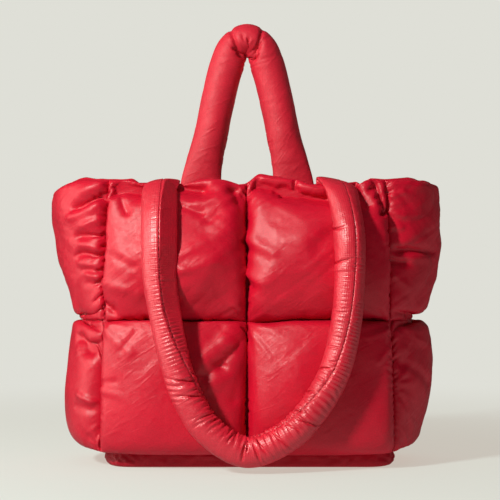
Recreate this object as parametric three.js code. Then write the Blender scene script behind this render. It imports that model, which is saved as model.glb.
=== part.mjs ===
// Quilted puffer tote: four padded walls and a padded base sewn edge to edge into an open bag,
// a long stuffed handle folded over the front rim and a short one standing at the back rim.
// Millimetres, +Z up, front towards -Y, origin under the middle of the base.
import * as THREE from "three";

// Driving dimensions
const GAP = 0.4; // left between neighbouring pieces
const BASE_SEAM_Z = 17; // seam round the top of the base
const MIDDLE_SEAM_Z = 154; // quilting seam round the walls
const RIM_Z = 302; // top edge of the walls
const SEAM_THICKNESS = 5; // padded wall pressed flat by a row of stitches
const RIM_THICKNESS = 8; // turned edge at the mouth
const FRONT_HANDLE_WIDTH = 31; // stuffed tube, long handle
const BACK_HANDLE_WIDTH = 37; // stuffed tube, short handle
const FRONT_CELL_STEPS = 18; // faces across one stuffed cell of the front
const BACK_CELL_STEPS = 14; // and of the plainer back
const SIDE_CELL_STEPS = 16; // and of a side
const TUBE_SIDES = 14; // faces round a handle

// Plan of the walls at each seam: half width and half depth to the corner seams,
// and how far the middle of a side bows out past them
const LEVELS = [
  { z: BASE_SEAM_Z, halfWidth: 151, halfDepth: 74, bow: 12 },
  { z: MIDDLE_SEAM_Z, halfWidth: 148, halfDepth: 68, bow: 28 },
  { z: RIM_Z, halfWidth: 146, halfDepth: 57, bow: 51 },
];

// Stuffing of a panel's cells, row by row: how far a crown stands out and in from the seams,
// how far below the cell's middle it sits, as a share of the cell, and how far its foot droops
const FRONT_CELLS = [
  { row: "lower", out: 31, in: 9, sag: 0.05, droop: 12 },
  { row: "upper", out: 30, in: 8, sag: 0.02, droop: 0 },
];
const LEFT_CELLS = [
  { row: "lower", out: 23, in: 7, sag: 0.06, droop: 30 },
  { row: "upper", out: 18, in: 6, sag: -0.1, droop: 0 },
];
const RIGHT_CELLS = [
  { row: "lower", out: 30, in: 7, sag: -0.03, droop: 26 },
  { row: "upper", out: 16, in: 6, sag: 0.03, droop: 0 },
];

// Folds pulled into a panel: ends as shares across and up the panel seen from outside,
// width and depth of the furrow; a negative depth is a ridge
const FRONT_FOLDS = [
  { name: "left rim tuck", fromU: 0.04, fromV: 0.96, toU: 0.13, toV: 0.95, width: 7, depth: 11 },
  { name: "left rim pleat", fromU: 0.03, fromV: 0.99, toU: 0.09, toV: 0.86, width: 6, depth: -5 },
  { name: "middle rim tuck", fromU: 0.25, fromV: 0.95, toU: 0.33, toV: 0.97, width: 6, depth: 8 },
  { name: "right rim tuck", fromU: 0.56, fromV: 0.97, toU: 0.76, toV: 0.94, width: 8, depth: 12 },
  { name: "right rim pleat", fromU: 0.93, fromV: 0.97, toU: 0.96, toV: 0.85, width: 7, depth: -6 },
  { name: "upper slant crease", fromU: 0.28, fromV: 0.86, toU: 0.35, toV: 0.83, width: 6, depth: 5 },
  { name: "cross pull, long", fromU: 0.49, fromV: 0.47, toU: 0.36, toV: 0.33, width: 8, depth: 8 },
  { name: "cross pull, steep", fromU: 0.49, fromV: 0.43, toU: 0.41, toV: 0.22, width: 7, depth: 7 },
  { name: "cross pull, ridge", fromU: 0.47, fromV: 0.47, toU: 0.38, toV: 0.28, width: 6, depth: -5 },
  { name: "lower right pull", fromU: 0.51, fromV: 0.46, toU: 0.62, toV: 0.41, width: 6, depth: 4 },
];
const BACK_FOLDS = [
  { name: "rim tuck", fromU: 0.12, fromV: 0.95, toU: 0.3, toV: 0.93, width: 9, depth: 7 },
  { name: "far rim tuck", fromU: 0.66, fromV: 0.93, toU: 0.82, toV: 0.95, width: 9, depth: 7 },
  { name: "cross pull", fromU: 0.51, fromV: 0.47, toU: 0.63, toV: 0.32, width: 8, depth: 7 },
];
const LEFT_FOLDS = [
  { name: "upper pucker", fromU: 0.98, fromV: 0.86, toU: 0.7, toV: 0.82, width: 6, depth: 4 },
  { name: "middle pucker", fromU: 0.98, fromV: 0.74, toU: 0.72, toV: 0.78, width: 6, depth: 5 },
  { name: "low pucker", fromU: 0.98, fromV: 0.64, toU: 0.74, toV: 0.66, width: 6, depth: 4 },
  { name: "shoulder fold", fromU: 0.95, fromV: 0.42, toU: 0.6, toV: 0.4, width: 8, depth: 8 },
  { name: "foot fold", fromU: 0.98, fromV: 0.1, toU: 0.7, toV: 0.05, width: 7, depth: 7 },
];
const RIGHT_FOLDS = [
  { name: "upper pucker", fromU: 0.02, fromV: 0.88, toU: 0.25, toV: 0.92, width: 6, depth: 4 },
  { name: "cross crease", fromU: 0.05, fromV: 0.73, toU: 0.35, toV: 0.75, width: 7, depth: 5 },
  { name: "lower crease", fromU: 0.04, fromV: 0.33, toU: 0.4, toV: 0.3, width: 7, depth: 4 },
];

// Waves of the rim: place along a panel seen from outside, and how far it lifts there
const FRONT_RIM = [
  { u: 0, lift: 0 },
  { u: 0.08, lift: 0 },
  { u: 0.13, lift: -6 },
  { u: 0.27, lift: -6 },
  { u: 0.34, lift: 1 },
  { u: 0.49, lift: -5 },
  { u: 0.55, lift: 5 },
  { u: 0.67, lift: 1 },
  { u: 0.73, lift: -6 },
  { u: 0.88, lift: -6 },
  { u: 0.94, lift: 1 },
  { u: 1, lift: 0 },
];
const BACK_RIM = [
  { u: 0, lift: 0 },
  { u: 0.5, lift: -5 },
  { u: 1, lift: 0 },
];
const LEFT_RIM = [
  { u: 0, lift: 0 },
  { u: 0.5, lift: -10 },
  { u: 0.85, lift: 1 },
  { u: 1, lift: 0 },
];
const RIGHT_RIM = [
  { u: 0, lift: 0 },
  { u: 0.2, lift: 1 },
  { u: 0.5, lift: -4 },
  { u: 1, lift: 0 },
];

// Base: height and inset of each ring of its padded edge, and how far its top sinks
const BASE_EDGE = [
  { z: 0, inset: 9 },
  { z: 3.5, inset: 1 },
  { z: 8, inset: -3 },
  { z: 12.5, inset: -1 },
  { z: BASE_SEAM_Z - GAP, inset: 3 },
];
const BASE_CORNER = 18; // length that its rounded corners take from each side
const BASE_CURVE_STEPS = 8;
const BASE_TOP_INSET = 30;
const BASE_TOP_SINK = 5;

// Route of the long front handle, from its sewn end inside the rim at the left, over the rim,
// down in a loop before the front and back: place, width and thickness of the stuffed tube
const FRONT_ROUTE = [
  { x: -88, y: -48.6, z: 266, width: 33, thick: 7 },
  { x: -88, y: -48, z: 292.5, width: 33, thick: 7 },
  { x: -88, y: -51, z: 300.8, width: 33, thick: 7 },
  { x: -88, y: -62, z: 301.4, width: 33, thick: 8 },
  { x: -88.5, y: -79, z: 294, width: 32, thick: 12 },
  { x: -89, y: -96, z: 272, width: FRONT_HANDLE_WIDTH, thick: 22 },
  { x: -90, y: -111, z: 240, width: FRONT_HANDLE_WIDTH, thick: FRONT_HANDLE_WIDTH },
  { x: -89, y: -114, z: 198, width: FRONT_HANDLE_WIDTH, thick: FRONT_HANDLE_WIDTH },
  { x: -83, y: -117, z: 157, width: FRONT_HANDLE_WIDTH, thick: FRONT_HANDLE_WIDTH },
  { x: -74, y: -121, z: 116, width: FRONT_HANDLE_WIDTH, thick: FRONT_HANDLE_WIDTH },
  { x: -61, y: -124, z: 77, width: FRONT_HANDLE_WIDTH, thick: FRONT_HANDLE_WIDTH },
  { x: -38, y: -125, z: 43, width: FRONT_HANDLE_WIDTH, thick: FRONT_HANDLE_WIDTH },
  { x: 0, y: -124, z: 22, width: FRONT_HANDLE_WIDTH, thick: FRONT_HANDLE_WIDTH },
  { x: 42, y: -125, z: 38, width: FRONT_HANDLE_WIDTH, thick: FRONT_HANDLE_WIDTH },
  { x: 70, y: -124, z: 68, width: FRONT_HANDLE_WIDTH, thick: FRONT_HANDLE_WIDTH },
  { x: 90, y: -122, z: 104, width: FRONT_HANDLE_WIDTH, thick: FRONT_HANDLE_WIDTH },
  { x: 102, y: -118, z: 153, width: FRONT_HANDLE_WIDTH, thick: FRONT_HANDLE_WIDTH },
  { x: 105, y: -114, z: 205, width: FRONT_HANDLE_WIDTH, thick: FRONT_HANDLE_WIDTH },
  { x: 101, y: -110, z: 244, width: FRONT_HANDLE_WIDTH, thick: FRONT_HANDLE_WIDTH },
  { x: 96, y: -96, z: 273, width: FRONT_HANDLE_WIDTH, thick: 22 },
  { x: 92, y: -79, z: 294, width: 36, thick: 12 },
  { x: 89, y: -62, z: 301.4, width: 38, thick: 8 },
  { x: 89, y: -51, z: 300.8, width: 38, thick: 7 },
  { x: 89, y: -48, z: 292.5, width: 36, thick: 7 },
  { x: 89, y: -48.6, z: 266, width: 36, thick: 7 },
];
const FRONT_STEPS = 48;

// Route of the short back handle, from its sewn end inside the rim at the left, up through its
// pinched bend and down again
const BACK_ROUTE = [
  { x: -53, y: 47.7, z: 270, width: 46, thick: 9 },
  { x: -52, y: 46, z: 300, width: 45, thick: 11 },
  { x: -48, y: 49, z: 326, width: 40, thick: 24 },
  { x: -41, y: 53, z: 356, width: BACK_HANDLE_WIDTH, thick: BACK_HANDLE_WIDTH },
  { x: -32, y: 55, z: 400, width: BACK_HANDLE_WIDTH, thick: BACK_HANDLE_WIDTH },
  { x: -22.5, y: 56, z: 438, width: BACK_HANDLE_WIDTH, thick: BACK_HANDLE_WIDTH },
  { x: -15, y: 56, z: 456, width: BACK_HANDLE_WIDTH - 2, thick: BACK_HANDLE_WIDTH },
  { x: 0, y: 56, z: 465, width: BACK_HANDLE_WIDTH - 2, thick: BACK_HANDLE_WIDTH },
  { x: 15, y: 56, z: 456, width: BACK_HANDLE_WIDTH - 2, thick: BACK_HANDLE_WIDTH },
  { x: 22.5, y: 56, z: 438, width: BACK_HANDLE_WIDTH, thick: BACK_HANDLE_WIDTH },
  { x: 32, y: 55, z: 400, width: BACK_HANDLE_WIDTH, thick: BACK_HANDLE_WIDTH },
  { x: 41, y: 53, z: 356, width: BACK_HANDLE_WIDTH, thick: BACK_HANDLE_WIDTH },
  { x: 48, y: 49, z: 326, width: 40, thick: 24 },
  { x: 52, y: 46, z: 300, width: 45, thick: 11 },
  { x: 53, y: 47.7, z: 270, width: 46, thick: 9 },
];
const BACK_STEPS = 34;

// Shape of a stuffed cell
const CELL_FULLNESS = 0.55; // outside: low is a steep, tight pillow
const LINING_FULLNESS = 1.3; // inside: a shallow swell
const GATHERS_PER_CELL = 5; // puckers along one side of a cell
const GATHER_DEPTH = 2.2; // how deep a pucker is at the seam
const GATHER_REACH = 0.09; // share of the cell that a pucker runs in

const CLOTH = new THREE.MeshStandardMaterial({ color: 0xd9323f, roughness: 0.42, metalness: 0 });
const HANDLE_CLOTH = new THREE.MeshStandardMaterial({ color: 0xdc3a45, roughness: 0.45, metalness: 0 });

// Half width, half depth and bow of the walls at a height, on the parabola through the levels
function planAt(z) {
  const weights = LEVELS.map((row) =>
    LEVELS.reduce((w, other) => (other === row ? w : (w * (z - other.z)) / (row.z - other.z)), 1),
  );
  const blend = (key) => LEVELS.reduce((sum, row, k) => sum + weights[k] * row[key], 0);
  return { halfWidth: blend("halfWidth"), halfDepth: blend("halfDepth"), bow: blend("bow") };
}

// Height of a wave table at u, eased between its rows
function waveAt(rows, u) {
  const k = Math.min(
    rows.length - 2,
    rows.findLastIndex((row) => row.u <= u),
  );
  const share = (u - rows[k].u) / (rows[k + 1].u - rows[k].u);
  return THREE.MathUtils.lerp(rows[k].lift, rows[k + 1].lift, THREE.MathUtils.smoothstep(share, 0, 1));
}

// Angle by which a side panel turns out of its chord where it meets a corner seam
function bowAngle(plan) {
  return 2 * Math.atan2(plan.bow, plan.halfDepth);
}

// Flat front wall: point and outward normal at u from left to right, at a height
function frontSurface(u, z) {
  const plan = planAt(z);
  return {
    point: new THREE.Vector3(plan.halfWidth * (2 * u - 1), -plan.halfDepth, z),
    normal: new THREE.Vector3(0, -1, 0),
  };
}

// Right side wall, an arc that bows out: u from the front corner to the back corner
function sideSurface(u, z) {
  const plan = planAt(z);
  const radius = (plan.halfDepth ** 2 + plan.bow ** 2) / (2 * plan.bow);
  const turn = bowAngle(plan) * (2 * u - 1);
  const normal = new THREE.Vector3(Math.cos(turn), Math.sin(turn), 0);
  const centre = new THREE.Vector3(plan.halfWidth + plan.bow - radius, 0, z);
  return { point: normal.clone().multiplyScalar(radius).add(centre), normal };
}

// Direction of the seam allowance at a corner: along the plane that halves the angle between
// the front and the side, seen at the front right corner
function mitreAt(z) {
  const turn = bowAngle(planAt(z));
  return new THREE.Vector3(1 - Math.sin(turn), -Math.cos(turn), 0).normalize();
}

// Grid lines over a row of cells, closer together along the seams
function cellLines(cells, steps) {
  const lines = [];
  for (let cell = 0; cell < cells; cell++) {
    for (let k = cell ? 1 : 0; k <= steps; k++) {
      const even = k / steps;
      const crowded = 0.5 - 0.5 * Math.cos(Math.PI * even);
      lines.push({ cell, share: 0.5 * even + 0.5 * crowded });
    }
  }
  return lines;
}

// Swell of a stuffed cell, 0 on its seams and 1 at its crown
function cellRise(s, t, sag, fullness) {
  const lowered = t + sag * Math.sin(Math.PI * t) * 2;
  const bell = (x) => Math.max(0, Math.sin(Math.PI * x)) ** fullness;
  return bell(s) * bell(Math.min(1, lowered));
}

// Puckers that run in from the seams of a cell
function gatherAt(s, t) {
  const ripple = (along, away) =>
    Math.cos(2 * Math.PI * GATHERS_PER_CELL * along) * Math.exp(-((away / GATHER_REACH) ** 2)) * away;
  const strength = GATHER_DEPTH / (GATHER_REACH * 0.43);
  const total = ripple(t, s) + ripple(t, 1 - s) + ripple(s, t) + ripple(s, 1 - t);
  return strength * total;
}

// Depth that a panel's folds take from it at a point given in millimetres across and up
function foldDepth(folds, across, up, span, rise) {
  let depth = 0;
  for (const fold of folds) {
    const from = new THREE.Vector2(fold.fromU * span, fold.fromV * rise);
    const to = new THREE.Vector2(fold.toU * span, fold.toV * rise);
    const line = to.clone().sub(from);
    const here = new THREE.Vector2(across, up).sub(from);
    const along = THREE.MathUtils.clamp(here.dot(line) / line.lengthSq(), 0, 1);
    const away = here.sub(line.multiplyScalar(along)).length();
    depth += fold.depth * Math.exp(-((away / fold.width) ** 2));
  }
  return depth;
}

// Closed solid between an outer grid and an inner grid of half as many steps
function paddedSolid(outer, inner) {
  const positions = [];
  const indices = [];
  const number = (grid) =>
    grid.map((row) => row.map((point) => positions.push(point.x, point.y, point.z) / 3 - 1));
  const face = (a, b, c) => indices.push(a, b, c);
  const skin = (ids, turned) => {
    for (let j = 0; j + 1 < ids.length; j++) {
      for (let i = 0; i + 1 < ids[0].length; i++) {
        const [a, b, c, d] = [ids[j][i], ids[j][i + 1], ids[j + 1][i + 1], ids[j + 1][i]];
        face(a, turned ? c : b, turned ? b : c);
        face(a, turned ? d : c, turned ? c : d);
      }
    }
  };
  const rim = (ids) => {
    const last = ids.length - 1;
    const end = ids[0].length - 1;
    const right = ids.slice(1, last).map((row) => row[end]);
    const left = ids.slice(1, last).map((row) => row[0]);
    return [...ids[0], ...right, ...ids[last].toReversed(), ...left.toReversed()];
  };
  const outerIds = number(outer);
  const innerIds = number(inner);
  skin(outerIds, false);
  skin(innerIds, true);
  const fine = rim(outerIds);
  const coarse = rim(innerIds);
  coarse.forEach((a, k) => {
    const b = coarse[(k + 1) % coarse.length];
    const [p, q, r] = [0, 1, 2].map((n) => fine[(2 * k + n) % fine.length]);
    face(q, p, a);
    face(q, a, b);
    face(r, q, b);
  });
  return meshGeometry(positions, indices);
}

// Closed solid through a row of rings, with a fan over each end
function loftedSolid(rings) {
  const positions = [];
  const indices = [];
  const push = (point) => positions.push(point.x, point.y, point.z) / 3 - 1;
  const ids = rings.map((ring) => ring.map(push));
  const sides = rings[0].length;
  for (let k = 0; k + 1 < ids.length; k++) {
    for (let i = 0; i < sides; i++) {
      const next = (i + 1) % sides;
      indices.push(ids[k][i], ids[k][next], ids[k + 1][next]);
      indices.push(ids[k][i], ids[k + 1][next], ids[k + 1][i]);
    }
  }
  const close = (ring, points, turned) => {
    const middle = points.reduce((sum, p) => sum.add(p), new THREE.Vector3()).divideScalar(sides);
    const hub = push(middle);
    for (let i = 0; i < sides; i++) {
      const pair = [ring[i], ring[(i + 1) % sides]];
      indices.push(hub, ...(turned ? pair.toReversed() : pair));
    }
  };
  close(ids[0], rings[0], true);
  close(ids.at(-1), rings.at(-1), false);
  return meshGeometry(positions, indices);
}

function meshGeometry(positions, indices) {
  const geometry = new THREE.BufferGeometry();
  geometry.setAttribute("position", new THREE.Float32BufferAttribute(positions, 3));
  geometry.setIndex(indices);
  geometry.computeVertexNormals();
  return geometry;
}

// One quilted wall. Its left and right edges lie on the mitres of the corner seams, half a gap
// from its neighbours, its foot stands on the base and its top is the turned rim.
function quiltedWall({ surface, columns, steps, cells, folds, rimWave, leftMitre, rightMitre }) {
  const columnLines = cellLines(columns, steps);
  const rowLines = cellLines(2, steps);
  const height = RIM_Z - BASE_SEAM_Z;
  const rowEnds = [BASE_SEAM_Z + GAP / 2, MIDDLE_SEAM_Z, RIM_Z];
  const outer = [];
  const inner = [];
  rowLines.forEach((rowLine, j) => {
    const outerRow = [];
    const innerRow = [];
    const top = j === rowLines.length - 1;
    const level = THREE.MathUtils.lerp(rowEnds[rowLine.cell], rowEnds[rowLine.cell + 1], rowLine.share);
    const nearRim = THREE.MathUtils.smoothstep(level, RIM_Z - 14, RIM_Z);
    const half = THREE.MathUtils.lerp(SEAM_THICKNESS, RIM_THICKNESS, nearRim) / 2;
    const cell = cells[rowLine.cell];
    const span = surface(0, level).point.distanceTo(surface(1, level).point);
    columnLines.forEach((columnLine, i) => {
      const first = i === 0;
      const last = i === columnLines.length - 1;
      const trim = GAP / 2 / span;
      const u = THREE.MathUtils.lerp(trim, 1 - trim, (columnLine.cell + columnLine.share) / columns);
      const lifted = ((level - BASE_SEAM_Z) / height) ** 3 * waveAt(rimWave, u);
      const { point, normal } = surface(u, level);
      point.z += lifted;
      const mitre = first ? leftMitre(level) : last ? rightMitre(level) : normal;
      const { share: s } = columnLine;
      const { share: t } = rowLine;
      const rise = cellRise(s, t, cell.sag, CELL_FULLNESS);
      const swell = cell.out * rise;
      const furrow = foldDepth(folds, u * span, level - BASE_SEAM_Z, span, height);
      const stuffed = Math.max(0, swell + gatherAt(s, t) - Math.min(furrow, 0.7 * swell));
      const skin = point.clone().addScaledVector(mitre, half + (first || last || top ? 0 : stuffed));
      skin.z -= cell.droop * rise * (1 - t) ** 2;
      outerRow.push(skin);
      const lining = cell.in * cellRise(s, t, cell.sag, LINING_FULLNESS);
      innerRow.push(point.clone().addScaledVector(mitre, -half - lining));
    });
    outer.push(outerRow);
    inner.push(innerRow);
  });
  const everySecond = (list) => list.filter((_, k) => k % 2 === 0);
  return paddedSolid(outer, everySecond(inner).map(everySecond));
}

// Front wall, and the back wall before it is turned round
function frontGeometry(steps, folds, rimWave) {
  const right = (z) => mitreAt(z);
  const left = (z) => mitreAt(z).multiply(new THREE.Vector3(-1, 1, 1));
  return quiltedWall({
    surface: frontSurface,
    columns: 2,
    steps,
    cells: FRONT_CELLS,
    folds,
    rimWave,
    leftMitre: left,
    rightMitre: right,
  });
}

// Right wall, and the left wall before it is turned round
function sideGeometry(cells, folds, rimWave) {
  const front = (z) => mitreAt(z);
  const back = (z) => mitreAt(z).multiply(new THREE.Vector3(1, -1, 1));
  return quiltedWall({
    surface: sideSurface,
    columns: 1,
    steps: SIDE_CELL_STEPS,
    cells,
    folds,
    rimWave,
    leftMitre: front,
    rightMitre: back,
  });
}

// Outline of the base at a height, drawn in from the base seam: straight front and back, ends
// that bow out under the side walls, rounded corners
function baseRing(z, inset) {
  const plan = planAt(BASE_SEAM_Z);
  const [x, y, bow] = [plan.halfWidth - inset, plan.halfDepth - inset, plan.bow];
  const corner = BASE_CORNER;
  const lead = (2 * bow * corner) / y;
  const outline = new THREE.Shape();
  outline.moveTo(-x + corner, -y);
  outline.lineTo(x - corner, -y);
  outline.quadraticCurveTo(x, -y, x + lead, -y + corner);
  outline.quadraticCurveTo(x + 2 * bow - lead, 0, x + lead, y - corner);
  outline.quadraticCurveTo(x, y, x - corner, y);
  outline.lineTo(-x + corner, y);
  outline.quadraticCurveTo(-x, y, -x - lead, y - corner);
  outline.quadraticCurveTo(-x - 2 * bow + lead, 0, -x - lead, -y + corner);
  outline.quadraticCurveTo(-x, -y, -x + corner, -y);
  const points = outline.getPoints(BASE_CURVE_STEPS).slice(1);
  return points.map((point) => new THREE.Vector3(point.x, point.y, z));
}

function baseGeometry() {
  const edge = BASE_EDGE.map((row) => baseRing(row.z, row.inset));
  const sunk = baseRing(BASE_SEAM_Z - GAP - BASE_TOP_SINK, BASE_TOP_INSET);
  return loftedSolid([...edge, sunk]);
}

// Stuffed tube along a route. The section is carried along without turning, and the twist that
// is left at the far end, which lies flat on the bag like the near one, is shared out.
function handleGeometry(route, steps) {
  const curve = new THREE.CatmullRomCurve3(
    route.map((row) => new THREE.Vector3(row.x, row.y, row.z)),
    false,
    "centripetal",
  );
  const frames = [];
  const across = new THREE.Vector3(-1, 0, 0);
  for (let k = 0; k <= steps; k++) {
    const along = curve.getTangent(k / steps);
    across.addScaledVector(along, -across.dot(along)).normalize();
    frames.push({ centre: curve.getPoint(k / steps), along, across: across.clone() });
  }
  const end = frames.at(-1);
  const wanted = new THREE.Vector3(1, 0, 0);
  const twist = Math.atan2(wanted.dot(end.along.clone().cross(end.across)), wanted.dot(end.across));
  const rings = frames.map(({ centre, along, across: carried }, k) => {
    const place = (k / steps) * (route.length - 1);
    const row = Math.min(route.length - 2, Math.floor(place));
    const half = (key) => THREE.MathUtils.lerp(route[row][key], route[row + 1][key], place - row) / 2;
    const flat = carried.clone().applyAxisAngle(along, (twist * k) / steps);
    const away = flat.clone().cross(along);
    return Array.from({ length: TUBE_SIDES }, (_, side) => {
      const angle = (-2 * Math.PI * (side + 0.5)) / TUBE_SIDES;
      const point = centre.clone().addScaledVector(flat, half("width") * Math.cos(angle));
      return point.addScaledVector(away, half("thick") * Math.sin(angle));
    });
  });
  return loftedSolid(rings);
}

function piece(name, geometry, material, turn = 0) {
  const mesh = new THREE.Mesh(geometry, material);
  mesh.name = name;
  mesh.rotation.z = turn;
  return mesh;
}

const walls = new THREE.Group();
walls.add(
  piece("front_panel", frontGeometry(FRONT_CELL_STEPS, FRONT_FOLDS, FRONT_RIM), CLOTH),
  piece("back_panel", frontGeometry(BACK_CELL_STEPS, BACK_FOLDS, BACK_RIM), CLOTH, Math.PI),
  piece("right_side_panel", sideGeometry(RIGHT_CELLS, RIGHT_FOLDS, RIGHT_RIM), CLOTH),
  piece("left_side_panel", sideGeometry(LEFT_CELLS, LEFT_FOLDS, LEFT_RIM), CLOTH, Math.PI),
);

const handles = new THREE.Group();
handles.add(
  piece("front_handle", handleGeometry(FRONT_ROUTE, FRONT_STEPS), HANDLE_CLOTH),
  piece("back_handle", handleGeometry(BACK_ROUTE, BACK_STEPS), HANDLE_CLOTH),
);

const bag = new THREE.Group();
bag.add(walls, piece("base_panel", baseGeometry(), CLOTH), handles);

export default bag;
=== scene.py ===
"""Quilted puffer tote: simulated padded walls, a padded base, stuffed handles and their stitches.

Every padded wall and stuffed handle is a grid of cloth that is pinned along its seams, cut a little too
large, and relaxed between the least and the greatest height that its filling allows. Shapes are worked
out in millimetres, and turn into metres when a mesh is made.
"""
import math
from collections import namedtuple

import bpy
import numpy as np
from bpy.props import FloatProperty, FloatVectorProperty, PointerProperty
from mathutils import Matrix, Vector


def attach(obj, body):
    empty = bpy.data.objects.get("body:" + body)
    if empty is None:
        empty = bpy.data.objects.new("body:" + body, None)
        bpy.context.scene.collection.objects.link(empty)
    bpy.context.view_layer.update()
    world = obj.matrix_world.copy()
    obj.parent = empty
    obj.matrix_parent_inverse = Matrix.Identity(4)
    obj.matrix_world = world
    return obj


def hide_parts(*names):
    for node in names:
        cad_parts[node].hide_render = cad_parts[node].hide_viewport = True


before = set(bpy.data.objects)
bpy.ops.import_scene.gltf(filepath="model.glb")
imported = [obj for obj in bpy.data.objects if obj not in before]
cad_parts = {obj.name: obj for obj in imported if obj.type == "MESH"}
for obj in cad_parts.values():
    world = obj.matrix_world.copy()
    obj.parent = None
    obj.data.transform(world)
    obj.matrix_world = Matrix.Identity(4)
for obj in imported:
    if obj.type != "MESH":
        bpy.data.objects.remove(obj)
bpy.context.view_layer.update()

bl_info = {
    "name": "Quilted puffer tote",
    "version": (1, 0, 0),
    "blender": (4, 5, 0),
    "location": "View3D > Sidebar > Tote",
    "description": "Dresses the packed frame of a puffer tote in simulated quilting, handles and stitches",
    "category": "Object",
}

MM = 0.001
TINY = 1e-9
ACROSS = np.array([1.0, 0.0, 0.0])
UP = np.array([0.0, 0.0, 1.0])

# A fold or crease along a line, with the share of its depth that is lost on the way, a place on a
# handle's route, and a ring of the base
Fold = namedtuple("Fold", "start end width depth fade", defaults=(0.0,))
Knot = namedtuple("Knot", "at width thick seam")
Ring = namedtuple("Ring", "z inset corner crease")

# Sewn sizes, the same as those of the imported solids, with the gap of a seam drawn closed
GAP = 0.06
BASE_SEAM_Z = 17.0
MIDDLE_SEAM_Z = 154.0
RIM_Z = 302.0
SEAM_THICKNESS = 5.0
RIM_THICKNESS = 8.0
CELL_WIDTH = 148.0
CELL_HEIGHT = 142.0
RIM_BLEND = 14.0

# Plan of the walls at each seam: half width and half depth to the corner seams, bow of a side
LEVELS = (
    {"z": BASE_SEAM_Z, "half_width": 151.0, "half_depth": 74.0, "bow": 12.0},
    {"z": MIDDLE_SEAM_Z, "half_width": 148.0, "half_depth": 68.0, "bow": 28.0},
    {"z": RIM_Z, "half_width": 146.0, "half_depth": 57.0, "bow": 51.0},
)

# Filling of a wall's lower and upper cells: how far a crown stands out and in, how far it sits
# below the cell's middle as a share of the cell, and how far its foot droops
FRONT_CELLS = (
    {"out": 30.0, "lining": 9.0, "sag": 0.02, "droop": 17.0},
    {"out": 35.0, "lining": 8.0, "sag": 0.05, "droop": 0.0},
)
LEFT_CELLS = (
    {"out": 23.0, "lining": 7.0, "sag": 0.06, "droop": 30.0},
    {"out": 18.0, "lining": 6.0, "sag": -0.1, "droop": 0.0},
)
RIGHT_CELLS = (
    {"out": 29.0, "lining": 7.0, "sag": -0.03, "droop": 26.0},
    {"out": 20.0, "lining": 6.0, "sag": 0.03, "droop": 0.0},
)

# Folds pulled into a wall's filling: ends as shares across and up the wall seen from outside, width
# and depth of the furrow, and a negative depth for a ridge
FRONT_FOLDS = (
    Fold((0.05, 0.965), (0.12, 0.96), 5.0, 16.0),
    Fold((0.035, 0.97), (0.083, 0.87), 2.6, 3.0),
    Fold((0.26, 0.975), (0.335, 0.955), 5.0, 9.0),
    Fold((0.546, 0.972), (0.64, 0.955), 4.5, 12.0),
    Fold((0.64, 0.955), (0.78, 0.94), 6.0, 18.0),
    Fold((0.56, 0.995), (0.66, 0.99), 5.0, -5.0),
    Fold((0.69, 0.985), (0.77, 0.98), 5.0, -6.0),
    Fold((0.675, 0.99), (0.684, 0.955), 3.0, 6.0),
    Fold((0.47, 0.87), (0.3, 0.64), 27.0, -8.0),
    Fold((0.8, 0.87), (0.55, 0.57), 32.0, -8.0),
    Fold((0.8, 0.44), (0.54, 0.13), 42.0, -6.0),
    Fold((0.93, 0.97), (0.96, 0.85), 5.0, -5.0),
    Fold((0.895, 0.97), (0.925, 0.9), 4.0, 7.0),
    Fold((0.955, 0.975), (0.985, 0.88), 4.0, 6.0),
    Fold((0.9, 0.995), (0.94, 0.985), 4.0, -4.0),
    Fold((0.455, 0.95), (0.485, 0.78), 8.0, 7.0),
    Fold((0.475, 0.465), (0.42, 0.385), 7.0, -6.0),
    Fold((0.42, 0.385), (0.355, 0.32), 7.0, -5.0),
    Fold((0.488, 0.425), (0.405, 0.305), 4.0, 5.0),
    Fold((0.405, 0.305), (0.355, 0.275), 4.0, 2.5),
    Fold((0.488, 0.4), (0.385, 0.25), 6.0, -4.0),
    Fold((0.492, 0.34), (0.45, 0.2), 6.0, 2.5),
    Fold((0.0, 0.55), (0.03, 0.525), 4.0, 5.0),
)
BACK_FOLDS = (
    Fold((0.2, 0.985), (0.27, 0.94), 5.0, 5.0),
    Fold((0.37, 0.98), (0.42, 0.93), 5.0, 5.0),
    Fold((0.76, 0.985), (0.71, 0.94), 5.0, 5.0),
    Fold((0.52, 0.45), (0.6, 0.35), 8.0, 3.0),
)
LEFT_FOLDS = (
    Fold((0.99, 0.94), (0.84, 0.9), 4.0, 5.0),
    Fold((0.97, 0.8), (0.85, 0.8), 3.5, 3.5),
    Fold((0.97, 0.725), (0.84, 0.735), 3.5, 3.5),
    Fold((0.99, 0.385), (0.9, 0.36), 6.0, 7.0),
    Fold((0.9, 0.36), (0.8, 0.38), 6.0, 5.0),
    Fold((0.99, 0.085), (0.85, 0.03), 4.0, 5.0),
    Fold((0.96, 0.468), (0.2, 0.468), 8.0, 6.0),
    Fold((0.96, 0.496), (0.2, 0.496), 8.0, 5.0),
)
RIGHT_FOLDS = (
    Fold((0.08, 0.745), (0.36, 0.745), 5.0, 3.5),
    Fold((0.0, 0.703), (0.11, 0.703), 4.0, 3.0),
    Fold((0.04, 0.33), (0.35, 0.24), 5.0, 2.0),
    Fold((0.08, 0.468), (0.8, 0.468), 7.0, 5.0),
    Fold((0.08, 0.496), (0.8, 0.496), 8.0, 5.0),
)

# A ray of a fan of creases: how far it strays from its even place, and what share of the fan's length
# and depth it has, where it starts on its way, how wide it is and how much it fades
RAY_STRAY = 0.3
RAY_LENGTHS = (0.45, 1.0)
RAY_DEPTHS = (0.5, 1.0)
RAY_START = 0.1
RAY_WIDTHS = (2.2, 3.6)
RAY_FADE = 0.8


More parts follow.
